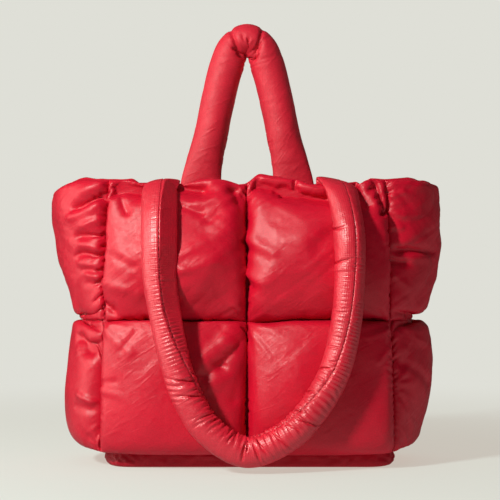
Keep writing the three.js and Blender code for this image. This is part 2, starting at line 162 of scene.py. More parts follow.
def fan(at, turns, rays, length, depth, seed):
    """Pulled creases that fan out from a point of a wall between two directions, in degrees."""
    draw = np.random.default_rng(seed)
    rows = []
    for k in range(rays):
        place = k + draw.uniform(-RAY_STRAY, RAY_STRAY)
        turn = math.radians(turns[0] + (turns[1] - turns[0]) * place / (rays - 1))
        toward = np.array([math.cos(turn) / (2 * CELL_WIDTH), math.sin(turn) / (2 * CELL_HEIGHT)])
        reach = length * draw.uniform(*RAY_LENGTHS) * toward
        width = draw.uniform(*RAY_WIDTHS)
        deep = depth * draw.uniform(*RAY_DEPTHS) * (-1) ** k
        rows.append(Fold(tuple(at + RAY_START * reach), tuple(at + reach), width, deep, RAY_FADE))
    return tuple(rows)


# Creases rubbed into the settled cloth, laid out as the folds are
FRONT_STREAKS = (
    Fold((0.265, 0.715), (0.419, 0.806), 5.0, -1.5, 0.5),
    Fold((0.279, 0.693), (0.426, 0.781), 4.5, 1.0, 0.6),
    Fold((0.269, 0.66), (0.391, 0.7), 4.0, -1.2, 0.5),
    Fold((0.276, 0.642), (0.384, 0.679), 3.5, 0.7, 0.5),
    Fold((0.258, 0.893), (0.335, 0.864), 3.0, 2.2),
    Fold((0.321, 0.9), (0.426, 0.912), 5.0, -2.0),
    Fold((0.353, 0.835), (0.447, 0.908), 4.0, 1.5),
    Fold((0.01, 0.628), (0.129, 0.591), 6.0, -2.4),
    Fold((0.0, 0.744), (0.118, 0.679), 4.0, 1.5),
    Fold((0.5, 0.795), (0.605, 0.726), 6.0, -3.0, 0.5),
    Fold((0.5, 0.759), (0.588, 0.7), 4.0, 2.0, 0.5),
    Fold((0.496, 0.671), (0.567, 0.628), 5.0, -3.0, 0.5),
    Fold((0.504, 0.631), (0.553, 0.595), 4.0, 2.4, 0.5),
    Fold((0.517, 0.562), (0.6, 0.63), 3.0, -0.9, 0.8),
    Fold((0.553, 0.518), (0.65, 0.59), 3.0, -0.8, 0.8),
    Fold((0.79, 0.79), (0.75, 0.75), 8.0, 3.0),
    Fold((0.01, 0.442), (0.108, 0.351), 6.0, -2.0),
    Fold((0.125, 0.42), (0.083, 0.36), 3.0, 1.2),
    Fold((0.0, 0.227), (0.076, 0.209), 3.0, -1.6, 0.6),
    Fold((0.006, 0.25), (0.062, 0.256), 3.0, 1.2),
    Fold((0.906, 0.398), (0.983, 0.435), 3.0, -1.6),
    Fold((0.94, 0.32), (0.985, 0.38), 3.0, -1.4),
    *fan((0.5, 0.475), (-72.0, -8.0), 6, 75.0, 1.8, 301),
    *fan((0.5, 0.485), (172.0, 112.0), 5, 45.0, 1.6, 302),
    *fan((0.5, 0.485), (12.0, 75.0), 5, 38.0, 1.4, 303),
    *fan((0.0, 0.475), (-70.0, -10.0), 5, 50.0, 1.4, 304),
    *fan((1.0, 0.475), (190.0, 255.0), 5, 55.0, 1.5, 305),
    *fan((1.0, 0.49), (172.0, 110.0), 5, 45.0, 1.4, 306),
    *fan((0.49, 0.99), (185.0, 255.0), 5, 60.0, 1.6, 307),
)
BACK_STREAKS = (
    *fan((0.5, 0.475), (-150.0, -20.0), 10, 75.0, 1.8, 311),
    *fan((0.5, 0.485), (15.0, 165.0), 10, 60.0, 1.6, 312),
    *fan((0.0, 0.475), (-70.0, 60.0), 8, 60.0, 1.6, 313),
    *fan((1.0, 0.475), (120.0, 250.0), 8, 60.0, 1.6, 314),
    *fan((0.32, 1.0), (-130.0, -50.0), 9, 70.0, 2.0, 315),
    *fan((0.68, 1.0), (-130.0, -50.0), 9, 70.0, 2.0, 316),
)
LEFT_STREAKS = (
    Fold((0.795, 0.865), (0.945, 0.9), 4.0, -2.5),
    Fold((0.875, 0.836), (0.955, 0.854), 3.0, -2.4),
    Fold((0.86, 0.77), (0.945, 0.755), 3.5, -2.4),
    Fold((0.84, 0.7), (0.935, 0.688), 3.0, -2.0),
    Fold((0.875, 0.663), (0.945, 0.652), 3.0, -2.0),
    Fold((0.86, 0.954), (0.945, 0.975), 4.0, -2.0),
    Fold((0.86, 0.675), (0.96, 0.67), 3.0, 2.4),
    Fold((0.88, 0.63), (0.96, 0.63), 3.0, 2.0),
    Fold((0.88, 0.205), (0.98, 0.185), 3.0, -3.0),
    Fold((0.86, 0.17), (0.98, 0.16), 4.0, 2.0),
    *fan((1.0, 0.47), (190.0, 230.0), 5, 45.0, 1.4, 321),
    *fan((1.0, 0.02), (165.0, 115.0), 6, 45.0, 2.2, 322),
    *fan((0.0, 0.47), (-60.0, 50.0), 9, 70.0, 1.8, 323),
)
RIGHT_STREAKS = (
    Fold((0.03, 0.936), (0.1, 0.95), 3.0, -2.0),
    Fold((0.03, 0.88), (0.1, 0.868), 3.0, -2.0),
    Fold((0.02, 0.83), (0.08, 0.826), 3.0, -1.6),
    Fold((0.1, 0.718), (0.3, 0.722), 5.0, -2.0),
    *fan((0.0, 0.47), (-65.0, -8.0), 9, 80.0, 1.8, 331),
    *fan((0.0, 0.25), (-40.0, 35.0), 7, 70.0, 1.6, 332),
    *fan((0.0, 0.99), (-75.0, -10.0), 7, 70.0, 1.6, 333),
    *fan((1.0, 0.47), (130.0, 240.0), 9, 70.0, 1.8, 334),
)

# Waves of the rim: place across the wall seen from outside, and lift
FRONT_RIM = (
    (0.0, 0.0), (0.08, 0.0), (0.13, -8.0), (0.27, -8.0), (0.34, 1.0), (0.49, -5.0), (0.55, 5.0),
    (0.67, 1.0), (0.74, -8.0), (0.91, -8.0), (0.95, 1.0), (1.0, 0.0),
)
BACK_RIM = ((0.0, 0.0), (0.5, -5.0), (1.0, 0.0))
LEFT_RIM = ((0.0, 0.0), (0.5, -10.0), (0.85, 1.0), (1.0, 0.0))
RIGHT_RIM = ((0.0, 0.0), (0.2, 1.0), (0.5, -4.0), (1.0, 0.0))

# Route of a handle: centre, width across and thickness of the stuffed tube, and the angle of its
# sewn seam, from the face that looks away from the bag round towards the inside of the loop
FRONT_ROUTE = (
    Knot((-88.0, -48.6, 266.0), 33.0, 7.0, 0.0),
    Knot((-88.0, -48.0, 292.0), 33.0, 7.0, 0.0),
    Knot((-88.5, -51.0, 299.0), 34.0, 7.0, 0.0),
    Knot((-89.0, -62.0, 299.6), 37.0, 8.0, 6.0),
    Knot((-90.0, -79.0, 293.0), 39.0, 19.0, 9.0),
    Knot((-90.5, -96.0, 272.0), 39.0, 27.0, 9.0),
    Knot((-90.0, -110.0, 240.0), 38.0, 31.0, 9.0),
    Knot((-89.0, -114.0, 198.0), 35.5, 31.0, 14.0),
    Knot((-83.0, -117.0, 157.0), 32.5, 31.0, 26.0),
    Knot((-74.0, -121.0, 116.0), 31.0, 31.0, 48.0),
    Knot((-61.0, -124.0, 77.0), 31.0, 31.0, 92.0),
    Knot((-38.0, -125.0, 43.0), 31.0, 31.0, 112.0),
    Knot((0.0, -124.0, 22.0), 31.0, 31.0, 108.0),
    Knot((42.0, -125.0, 38.0), 31.0, 31.0, 84.0),
    Knot((70.0, -124.0, 68.0), 31.0, 31.0, 52.0),
    Knot((90.0, -122.0, 104.0), 31.0, 31.0, 28.0),
    Knot((102.0, -118.0, 153.0), 31.0, 31.0, 13.0),
    Knot((106.0, -114.0, 205.0), 31.0, 31.0, 4.0),
    Knot((106.0, -110.0, 244.0), 31.5, 31.0, 2.0),
    Knot((102.5, -96.0, 273.0), 33.0, 24.0, 0.0),
    Knot((98.5, -79.0, 293.0), 38.0, 14.0, -3.0),
    Knot((95.0, -62.0, 299.6), 43.0, 8.0, -6.0),
    Knot((94.0, -51.0, 299.0), 42.0, 7.0, -8.0),
    Knot((92.0, -48.0, 292.0), 38.0, 7.0, -8.0),
    Knot((91.0, -48.6, 266.0), 37.0, 7.0, -8.0),
)
BACK_LEG = (
    Knot((-53.0, 47.7, 270.0), 46.0, 9.0, 0.0),
    Knot((-52.0, 46.0, 300.0), 45.0, 11.0, 0.0),
    Knot((-48.0, 49.0, 326.0), 40.0, 24.0, 0.0),
    Knot((-41.0, 53.0, 356.0), 37.0, 37.0, 0.0),
    Knot((-32.0, 55.0, 400.0), 37.0, 37.0, 0.0),
    Knot((-22.5, 56.0, 438.0), 37.0, 37.0, 0.0),
    Knot((-15.0, 56.0, 456.0), 35.0, 37.0, 0.0),
)


def mirrored(knot):
    """A place on a handle's route moved to the other leg."""
    x, y, z = knot.at
    return knot._replace(at=(-x, y, z))


BACK_BEND = Knot((0.0, 56.0, 465.0), 35.0, 37.0, 0.0)
BACK_ROUTE = (*BACK_LEG, BACK_BEND, *map(mirrored, reversed(BACK_LEG)))

# Creases nipped into a handle: ends of a line in the front view (across, up), width, and depth
# at each end
FRONT_CREASES = (
    Fold((88.0, 250.0), (99.0, 252.5), 1.7, (3.4, 0.8)),
    Fold((87.0, 215.0), (102.0, 219.0), 1.5, (2.8, 0.8)),
    Fold((86.0, 259.0), (92.0, 256.0), 1.6, (1.6, 0.4)),
    Fold((-56.0, 96.0), (-66.0, 92.0), 1.6, (2.6, 0.6)),
)
BACK_CREASES = (
    Fold((-20.0, 479.0), (-7.0, 446.0), 3.0, (1.2, 6.5)),
    Fold((18.0, 477.0), (7.5, 444.0), 3.0, (1.2, 6.5)),
    Fold((24.0, 466.0), (9.0, 452.0), 2.2, (0.4, 2.2)),
    Fold((-24.0, 462.0), (-10.0, 450.0), 2.2, (0.4, 2.0)),
)

# Rings of the base: height, inset, radius of the corners, and share of the edge's creases; first from
# the middle of its underside over the padded edge, then over the flange of its seam to its top
BASE_EDGE = (
    Ring(0.0, 66.0, 18.0, 0.0),
    Ring(0.0, 48.0, 18.0, 0.0),
    Ring(0.0, 30.0, 18.0, 0.0),
    Ring(0.0, 18.0, 18.0, 0.0),
    Ring(0.0, 8.0, 18.0, 0.0),
    Ring(0.9, 5.6, 18.0, 0.1),
    Ring(2.4, 4.2, 18.0, 0.4),
    Ring(4.2, 3.4, 18.0, 0.8),
    Ring(6.2, 3.2, 18.0, 1.0),
    Ring(8.2, 3.3, 18.0, 1.0),
    Ring(10.2, 3.6, 18.0, 0.9),
    Ring(12.2, 4.2, 18.0, 0.6),
    Ring(14.2, 5.2, 16.0, 0.3),
)
BASE_TOP = (
    Ring(15.6, 5.6, 12.0, 0.0),
    Ring(15.9, 0.6, 4.0, 0.0),
    Ring(16.7, 0.6, 4.0, 0.0),
    Ring(16.7, 4.0, 4.0, 0.0),
    Ring(14.2, 9.0, 10.0, 0.0),
    Ring(12.6, 18.0, 18.0, 0.0),
    Ring(11.7, 30.0, 18.0, 0.0),
    Ring(11.7, 66.0, 18.0, 0.0),
)

# The base's edge: depth and number of its creases, their slant, the fineness, slant and share of the
# smaller ones, the level from which they rise, how many steps they fade in beside the ring's first
# point, and how far and where its left end is drawn in
BASE_CREASE = 3.6
BASE_FOLDS = 64
BASE_SLANT = 1.4
BASE_FINER = 2.5
BASE_FINER_SLANT = 2.0
BASE_FINER_SHARE = 0.4
BASE_LEVEL = 0.4
BASE_FADE_STEPS = 10.0
BASE_DRAWN_IN = 6.0
BASE_DRAWN_FROM = 90.0
BASE_DRAWN_OVER = 60.0
BASE_SEED = 61

# The signs that turn a wall half round
HALF_ROUND = (-1, -1, 1)

# Rows of the rolled hem over the rim, and its height as a share of its depth
HEM_ROWS = 5
HEM_RISE = 0.55

# Steps of cloth round a corner of the base, along an end and along a long side
CORNER_STEPS = 18
END_STEPS = 54
LONG_STEPS = 120

# Patterns of the coated nylon from real sizes in millimetres: patches of tone, flecks of the dye, crinkles,
# streaks lying across the cloth, dimples of the coat, threads and the ply of the sewing thread, with the
# depths that they press in, the dimples' share of the crinkling, and how far the red is paler or deeper.
# Threads lie 0.3 mm apart, and are drawn wider apart so that they show, most of all on the front handle.
TONE_PATCH = 45.0 * MM
DYE_FLECK = 1.6 * MM
CRINKLE_SIZE = 22.0 * MM
CRINKLE_DEPTH = 2.2 * MM
STREAK_TURN = math.radians(35.0)
STREAK_SIZE = (26.0 * MM, 6.0 * MM, 1.0)
STREAK_DEPTH = 1.2 * MM
DIMPLE_SIZE = 5.0 * MM
DIMPLE_DEPTH = 0.8 * MM
DIMPLE_SHARE = 0.75
THREAD_SPACING = 1.2 * MM
HANDLE_THREAD_SPACING = 2.2 * MM
THREAD_DEPTH = 0.12 * MM
PLY_SIZE = 0.6 * MM
PLY_DEPTH = 0.2 * MM
PALER = 1.16
DEEPER = 0.84

# The wave texture's bands at scale 1 are this far apart
BAND_SPACING = 2 * math.pi / 20

# The base's cloth is dull, and its red is darkened as painted shade under the walls' overhang; the back
# handle's is brushed, with a soft and dull face: how much rougher than the shell they are, and what share
# of the shell's red the base keeps under that painted shade
BASE_ROUGHER = 0.12
BASE_PAINTED_SHADE = 0.8
BACK_HANDLE_ROUGHER = 0.18

# Colours of the surroundings, the floor's paint and its glow beside the bag, how much of the glow and the
# surroundings is seen in reflections, and the floor's size
PALE = "DFDFD7"
FLOOR_PAINT = "819395"
FLOOR_GLOW = "C1B9AE"
FLAGGED = 0.05
FLOOR_RADIUS = 20.0
FLOOR_SIDES = 48

# Studio lights in metres: place, point that they look at, size, colour, setting that holds their power,
# and the kind of light that they don't give
Lamp = namedtuple("Lamp", "name place aim size colour power without")
LIGHTS = (
    Lamp("key_left", (-1.22, -1.46, 1.3), (0.0, 0.0, 0.2), 0.22, (1.0, 0.98, 0.9), "key_power", None),
    Lamp("top_soft", (-0.2, -0.6, 2.6), (0.0, 0.0, 0.1), 2.6, (1.0, 1.0, 0.99), "top_power", "glossy"),
    Lamp("sheen_left", (-1.5, -0.35, 0.35), (0.0, 0.0, 0.2), 1.4, (1.0, 0.98, 0.86), "sheen_power",
         "diffuse"),
)

# Camera: place and reach in metres, width of its sensor in millimetres, and focal length in pixels of a
# picture that is so many pixels wide
CAMERA_PLACE = (0.0032, -1.975, 0.229)
CAMERA_REACH = 50.0
SENSOR_WIDTH = 36.0
FOCAL_PIXELS = 1809.5
PICTURE_PIXELS = 500.0

# Seams and rim of a wall: sway of the middle seam and its waves in a cell, sway of the upright seam as
# a share of the wall and the length of its waves, height of the rim's ruffle with its waves and points
# in a cell, how fast the rim's waves and the ruffle fade down the wall, and how steeply both start at
# the corner seams
SEAM_SWAY = 1.8
SEAM_WAVES = 5.0
UPRIGHT_SWAY = 0.004
UPRIGHT_WAVE = 40.0
RUFFLE = 1.6
RUFFLE_WAVES = 12
RUFFLE_POINTS = 25
WAVE_FADE = 3
RUFFLE_FADE = 9
CORNER_STEEPNESS = 12

# Gathers: reach of the tight puckers and of the loose folds beside a seam, and the loose folds' share
TIGHT_REACH = 9.0
LOOSE_REACH = 28.0
LOOSE_SHARE = 0.25

# Cloth of a wall: squareness of the lining's cells and its share of the gather, waves of the filling
# with their counts in a wall, the most of the swell that a fold takes, spare length all over and in
# patches beside the seams, how far from a seam it is free, how far it may sink and rise away from the
# seams and more beside them, the depth of fold that keeps it from rising, and the swell below which it
# is pushed straight out
LINING_SQUARENESS = 2.0
LINING_GATHER = 0.5
FILLING_WAVES = 1.6
WAVE_COUNTS = (6, 3)
FINE_WAVES = 0.5
FINE_WAVE_COUNTS = (15, 8)
FOLD_SHARE = 0.8
SPARE = 0.012
SPARE_COUNTS = (12, 12)
PATCHES = 0.95
PATCHINESS = 0.9
PATCH_COUNTS = (11, 6)
FREE_FROM_SEAM = 4.0
SINK_SHARE = 0.5
SINK = 1.5
SINK_AT_SEAM = 6.5
RISE = 1.0
RISE_AT_SEAM = 2.0
FOLD_HOLD = 6.0
LEAST_SWELL = 0.2

# Crumpling: how much more there is at the top of a lower cell, from which share of its height and over
# how much of it, how far the creases bend and how coarsely, and the level from which they rise
CRUMPLE_MORE = 0.15
CRUMPLE_FROM = 0.5
CRUMPLE_OVER = 0.4
CREASE_BEND = 0.6
CREASE_BEND_SCALE = (0.7, 0.4)
CREASE_LEVEL = 0.3

# Creases in the coated cloth: direction in degrees, length, width and depth
CREASES = (
    (48.0, 64.0, 34.0, 2.2),
    (-40.0, 45.0, 24.0, -1.4),
    (33.0, 40.0, 11.0, 0.7),
    (-22.0, 26.0, 8.0, 0.45),
)

# Cloth of a handle: where and how far it lies flat, by its place across, its height and how full it
# is, the most of its radius that a crease nips, width of the seam's groove, reach of the seam's spare
# length, the stretch at which a bend begins and over which it grows, spare length round it, how far it may
# sink and rise, always, where it is free, and more in a bend, and how close its columns lie to the seam
FLAT_TURN = math.radians(55.0)
FLAT_ACROSS = 60.0
FLAT_FROM = 100.0
FLAT_OVER = 80.0
FLAT_FULLNESS = 0.18
FLAT_FULLNESS_OVER = 0.25
NIP_SHARE = 0.7
SEAM_GROOVE = 1.0
SPARE_REACH = 13.0
BEND_FROM = 1.02
BEND_OVER = 0.1
ROUND_SPARE = 1.01
HANDLE_SINK = (0.2, 0.5, 2.8)
HANDLE_RISE = (0.1, 0.2, 0.9)
SEAM_CLOSENESS = 0.65

# Fine ruching beside a handle's seam: pitch, height where it starts and over which it grows, its share
# above, its place and width and how much wider it gets, how far it drifts, and its size and unevenness
RUCHING_PITCH = 3.8
RUCHING_FROM = 240.0
RUCHING_OVER = 110.0
RUCHING_ABOVE = 0.25
RUCHING_PLACE = 5.0
RUCHING_WIDTH = 5.0
RUCHING_WIDER = 4.0
RUCHING_DRIFT = 2.2
RUCHING_SIZE = 0.6
RUCHING_UNEVEN = 0.5

# Wide ruching in the bend of a handle: pitch, depth, height where it starts and over which it grows, its
# place and width beside the seam, how far it drifts, the level from which it rises, its size and
# unevenness, and the depth of what is rubbed into the whole handle
BEND_PITCH = 6.2
BEND_RUCHING = 3.2
BEND_BELOW = 125.0
BEND_DEEPENS = 50.0
BEND_PLACE = 10.0
BEND_WIDTH = 12.0
BEND_DRIFT = 1.8
BEND_LEVEL = 0.6
BEND_SIZE = 0.6
BEND_UNEVEN = 0.4
RUB = 0.18

# Noise on a handle: steps along it to a cell, and cells round it, or for the rubbing columns to a cell
DRIFT_NOISE = (8, 3)
SIZE_NOISE = (20, 2)
STRAY_NOISE = (9, 5)
RUB_NOISE = (5, 4)

# Stitches: columns of cloth from the seam, size of a stitch, how far it turns in radians, and the part of
# the handle's length, as one in so many, that has none at each end
STITCH_ROW = 2
STITCH_LENGTH = 1.8
STITCH_RADIUS = 0.32
STITCH_TURN = 0.14
STITCH_FREE_PART = 40

# Settling on a coarse, a middle and a fine grid: rounds, push of the filling, stiffness against bending
# and against shear, speed kept, rounds between two looks at the outward direction, and the unevenness
# that a wall's outside and its lining start from, in cells of so many points and at least so many
COARSENESS = (4, 2, 1)
ROUNDS = (260, 200, 120)
PRESSURE = (0.06, 0.03, 0.015)
BENDING = (0.02, 0.08, 0.16)
SHEAR = 0.4
MOMENTUM = 0.9
LOOK_EVERY = 4
OUTSIDE_ROUGH = (1.6, 0.8, 0.4)
LINING_ROUGH = (1.0, 0.3, 0.1)
ROUGH_LEAST = 4
ROUGH_EVERY = 3

# The front wall gives way to the handle: space kept, passes, and points at a time
HANDLE_SPACE = 0.8
PRESS_PASSES = 4
PRESS_BATCH = 4096

# Fineness of tables and lines: noise, a puffed cell, the middle seam, a handle's route between two knots,
# and the handle that presses on the front
NOISE_SIZE = 256
CURVE_POINTS = 2001
SEAM_POINTS = 101
ROUTE_POINTS = 40
PRESS_POINTS = 200


def smoothstep(x):
    """Eased 0 to 1."""
    x = np.clip(x, 0.0, 1.0)
    return x * x * (3.0 - 2.0 * x)


def noise_at(x, y, seed):
    """Smooth noise from -1 to 1 at places in a plane, one cell to a unit."""
    table = np.random.default_rng(seed).uniform(-1.0, 1.0, (NOISE_SIZE, NOISE_SIZE))
    i, j = np.floor(x).astype(int), np.floor(y).astype(int)
    right, up = smoothstep(x - i), smoothstep(y - j)
    i, j, next_i, next_j = (k % NOISE_SIZE for k in (i, j, i + 1, j + 1))
    near = table[i, j] * (1 - right) + table[next_i, j] * right
    far = table[i, next_j] * (1 - right) + table[next_i, next_j] * right
    return near * (1 - up) + far * up


def value_noise(shape, cells, seed):
    """Smooth noise from -1 to 1 on a grid, with that many cells along each side."""
    down, across = (np.linspace(0.0, count, size) for count, size in zip(cells, shape))
    return noise_at(*np.meshgrid(down, across, indexing="ij"), seed)


def dot(a, b):
    """Dot products along the last axis."""
    return np.einsum("...k,...k->...", a, b)


def unit(v):
    """Vectors of length one along the last axis."""
    return v / np.maximum(np.linalg.norm(v, axis=-1, keepdims=True), TINY)


def edge_lengths(points, axis):
    """Lengths of a grid's edges along one of its axes."""
    return np.linalg.norm(np.diff(points, axis=axis), axis=-1)


def between(values, axis):
    """A grid's values at the middle of its edges along one axis."""
    values = np.moveaxis(values, axis, 0)
    return np.moveaxis(0.5 * (values[1:] + values[:-1]), 0, axis)


def twice_as_fine(points):
    """A grid with a cubic midpoint put between all neighbours."""
    for axis in (0, 1):
        line = np.moveaxis(points, axis, 0)
        padded = np.concatenate([2 * line[:1] - line[1:2], line, 2 * line[-1:] - line[-2:-1]])
        middle = (9 * (padded[1:-2] + padded[2:-1]) - padded[:-3] - padded[3:]) / 16
        finer = np.empty((2 * len(line) - 1,) + line.shape[1:])
        finer[::2] = line
        finer[1::2] = middle
        points = np.moveaxis(finer, 0, axis)
    return points


def pull(points, free, a, b, rest, stiffness, push_only=False):
    """Moves the two ends of a family of springs towards its rest lengths."""
    line = points[b] - points[a]
    length = np.sqrt(dot(line, line)) + TINY
    error = (length - rest) / length
    if push_only:
        error = np.minimum(error, 0.0)
    share = stiffness * error / np.maximum(free[a] + free[b], TINY)
    move = share[..., None] * line
    points[a] += free[a][..., None] * move
    points[b] -= free[b][..., None] * move


def surface_normals(points):
    """Outward normals of a grid."""
    return unit(np.cross(np.gradient(points, axis=1), np.gradient(points, axis=0)))


def relax(cloth, points, level):
    """Settles a grid of cloth between its pins, its filling and its neighbours' planes."""
    rows, columns = points.shape[:2]
    free = 1.0 - cloth["pinned"]
    across, along = cloth["across"], cloth["along"]
    slant = np.sqrt(between(across, 0) ** 2 + between(along, 1) ** 2)
    across_two = across[:, 1:] + across[:, :-1]
    along_two = along[1:] + along[:-1]
    every = slice(None)
    before = points.copy()
    for turn in range(ROUNDS[level]):
        step = MOMENTUM * (points - before)
        before = points.copy()
        if turn % LOOK_EVERY == 0:
            outward = cloth["side"] * surface_normals(points)
        points = points + free[..., None] * (step + PRESSURE[level] * outward)
        for odd in (0, 1):
            ends = (every, slice(odd, columns - 1, 2)), (every, slice(odd + 1, columns, 2))
            pull(points, free, *ends, across[:, odd::2], 1.0)
            ends = (slice(odd, rows - 1, 2), every), (slice(odd + 1, rows, 2), every)
            pull(points, free, *ends, along[odd::2], 1.0)
        for odd in (0, 1):
            upper, lower = slice(odd, rows - 1, 2), slice(odd + 1, rows, 2)
            left, right = slice(0, columns - 1), slice(1, columns)
            pull(points, free, (upper, left), (lower, right), slant[odd::2], SHEAR)
            pull(points, free, (upper, right), (lower, left), slant[odd::2], SHEAR)
        for first in range(4):
            ends = (every, slice(first, columns - 2, 4)), (every, slice(first + 2, columns, 4))
            pull(points, free, *ends, across_two[:, first::4], BENDING[level], push_only=True)
            ends = (slice(first, rows - 2, 4), every), (slice(first + 2, rows, 4), every)
            pull(points, free, *ends, along_two[first::4], BENDING[level], push_only=True)
        height = dot(points - cloth["core"], cloth["axis"])
        kept = np.clip(height, cloth["least"], cloth["most"])
        points += (free * (kept - height))[..., None] * cloth["axis"]
        for place, normal in cloth["planes"]:
            inside = np.minimum(dot(points - place, normal), 0.0)
            points -= (free * inside)[..., None] * normal
    return points


def plan_at(z):
    """Half width, half depth and bow of the walls at a height, on the parabola through LEVELS."""
    plan = dict.fromkeys(("half_width", "half_depth", "bow"), 0.0)
    for row in LEVELS:
        weight = 1.0
        for other in LEVELS:
            if other is not row:
                weight = weight * (z - other["z"]) / (row["z"] - other["z"])
        for key in plan:
            plan[key] = plan[key] + weight * row[key]
    return plan


def front_surface(u, z):
    """Points and outward normals of the flat front wall, u from left to right."""
    plan = plan_at(z)
    points = np.stack([plan["half_width"] * (2 * u - 1), -plan["half_depth"] + 0 * u, z + 0 * u], -1)
    return points, np.broadcast_to([0.0, -1.0, 0.0], points.shape).copy()


def side_surface(u, z):
    """Points and outward normals of the bowed right wall, u from the front to the back corner."""
    plan = plan_at(z)
    bow, depth = plan["bow"], plan["half_depth"]
    radius = (depth ** 2 + bow ** 2) / (2 * bow)
    turn = 2 * np.arctan2(bow, depth) * (2 * u - 1)
    normals = np.stack([np.cos(turn), np.sin(turn), 0 * turn], -1)
    points = radius[..., None] * normals
    points[..., 0] += plan["half_width"] + bow - radius
    points[..., 2] = z
    return points, normals


def mitre_at(z):
    """Direction of the seam allowance at the front right corner, halving the walls' angle."""
    plan = plan_at(z)
    turn = 2 * np.arctan2(plan["bow"], plan["half_depth"])
    return unit(np.stack([1 - np.sin(turn), -np.cos(turn), 0 * turn], -1))


def wave_at(rows, u):
    """Lift of the rim at u, eased between the rows of its table."""
    places, lifts = np.array(rows).T
    k = np.clip(np.searchsorted(places, u, side="right") - 1, 0, len(places) - 2)
    share = smoothstep((u - places[k]) / (places[k + 1] - places[k]))
    return lifts[k] * (1 - share) + lifts[k + 1] * share


def fold_depth(folds, across, up, span, rise):
    """Depth that the folds take from a wall at points in millimetres across and up it."""
    depth = 0.0 * across
    for fold in folds:
        start = np.array(fold.start) * (1.0, rise)
        line = (np.array(fold.end) - fold.start) * (1.0, rise)
        there_x, there_y = across - start[0] * span, up - start[1]
        line_x = line[0] * span
        along = np.clip((there_x * line_x + there_y * line[1]) / (line_x ** 2 + line[1] ** 2), 0, 1)
        away = np.hypot(there_x - along * line_x, there_y - along * line[1])
        kept = 1 - fold.fade * along
        depth = depth + fold.depth * kept * np.exp(-((away / fold.width) ** 2))
    return depth


def puff(share, first, last=None):
    """Swell across a cell, 0 on its seams and 1 at its crown: the squarer, the flatter its face.

    The squareness before the crown may differ from the squareness after it.
    """
    squareness = np.where(share < 0.5, first, first if last is None else last)
    return (1 - np.abs(2 * np.clip(share, 0.0, 1.0) - 1) ** squareness) ** (1 / squareness)


def even_shares(width, height, squareness, steps):
    """Shares across a cell that lie evenly along its puffed cloth."""
    share = 0.5 - 0.5 * np.cos(np.linspace(0.0, np.pi, CURVE_POINTS))
    rise = height * np.diff(puff(share, squareness))
    length = np.concatenate([[0.0], np.cumsum(np.hypot(width * np.diff(share), rise))])
    return np.interp(np.linspace(0.0, length[-1], steps + 1), length, share)


def bell_ends(u):
    """1 along a wall, and 0 at its two corner seams."""
    return smoothstep(CORNER_STEEPNESS * u) * smoothstep(CORNER_STEEPNESS * (1 - u))


# How a wall is sewn. Its surface is that of the front or of the right wall, with the signs of its two
# corner seams, and a turned wall goes half round to the other side. It has columns of cells with so
# many steps of cloth each, and stays above its foot. Squareness is at the left, between and at the
# right, and upright in the lower and the upper row. Gathers are spare lengths, those beside the upright
# seams for the lower and the upper row, and crumple is the amount of creases in these rows.
FLAT_WALL = {
    "surface": front_surface, "corners": ((-1, 1), (1, 1)), "columns": 2, "cells": FRONT_CELLS, "foot": 13.0,
    "square": (1.9, 2.3, 2.4), "upright_square": (2.6, 1.7), "upright_gather": (0.05, 0.06),
    "level_gather": 0.05, "foot_gather": 0.0, "crumple": (0.2, 1.0),
}
SIDE_WALL = {
    "surface": side_surface, "corners": ((1, 1), (1, -1)), "columns": 1, "steps": 108, "foot": 6.0,
    "upright_square": (1.75, 1.75), "level_gather": 0.08, "foot_gather": 1.0,
}
WALLS = {
    "front_panel": {
        **FLAT_WALL, "turned": False, "steps": 100, "seed": 11,
        "folds": FRONT_FOLDS, "streaks": FRONT_STREAKS, "rim": FRONT_RIM,
    },
    "back_panel": {
        **FLAT_WALL, "turned": True, "steps": 72, "seed": 23,
        "folds": BACK_FOLDS, "streaks": BACK_STREAKS, "rim": BACK_RIM,
    },
    "right_side_panel": {
        **SIDE_WALL, "turned": False, "cells": RIGHT_CELLS, "seed": 37,
        "folds": RIGHT_FOLDS, "streaks": RIGHT_STREAKS, "rim": RIGHT_RIM,
        "square": (1.35, 2.0, 2.2), "upright_gather": (0.06, 0.08), "crumple": (0.9, 1.5),
    },
    "left_side_panel": {
        **SIDE_WALL, "turned": True, "cells": LEFT_CELLS, "seed": 41,
        "folds": LEFT_FOLDS, "streaks": LEFT_STREAKS, "rim": LEFT_RIM,
        "square": (2.2, 2.0, 2.0), "upright_gather": (0.012, 0.22), "crumple": (0.2, 1.0),
    },
}


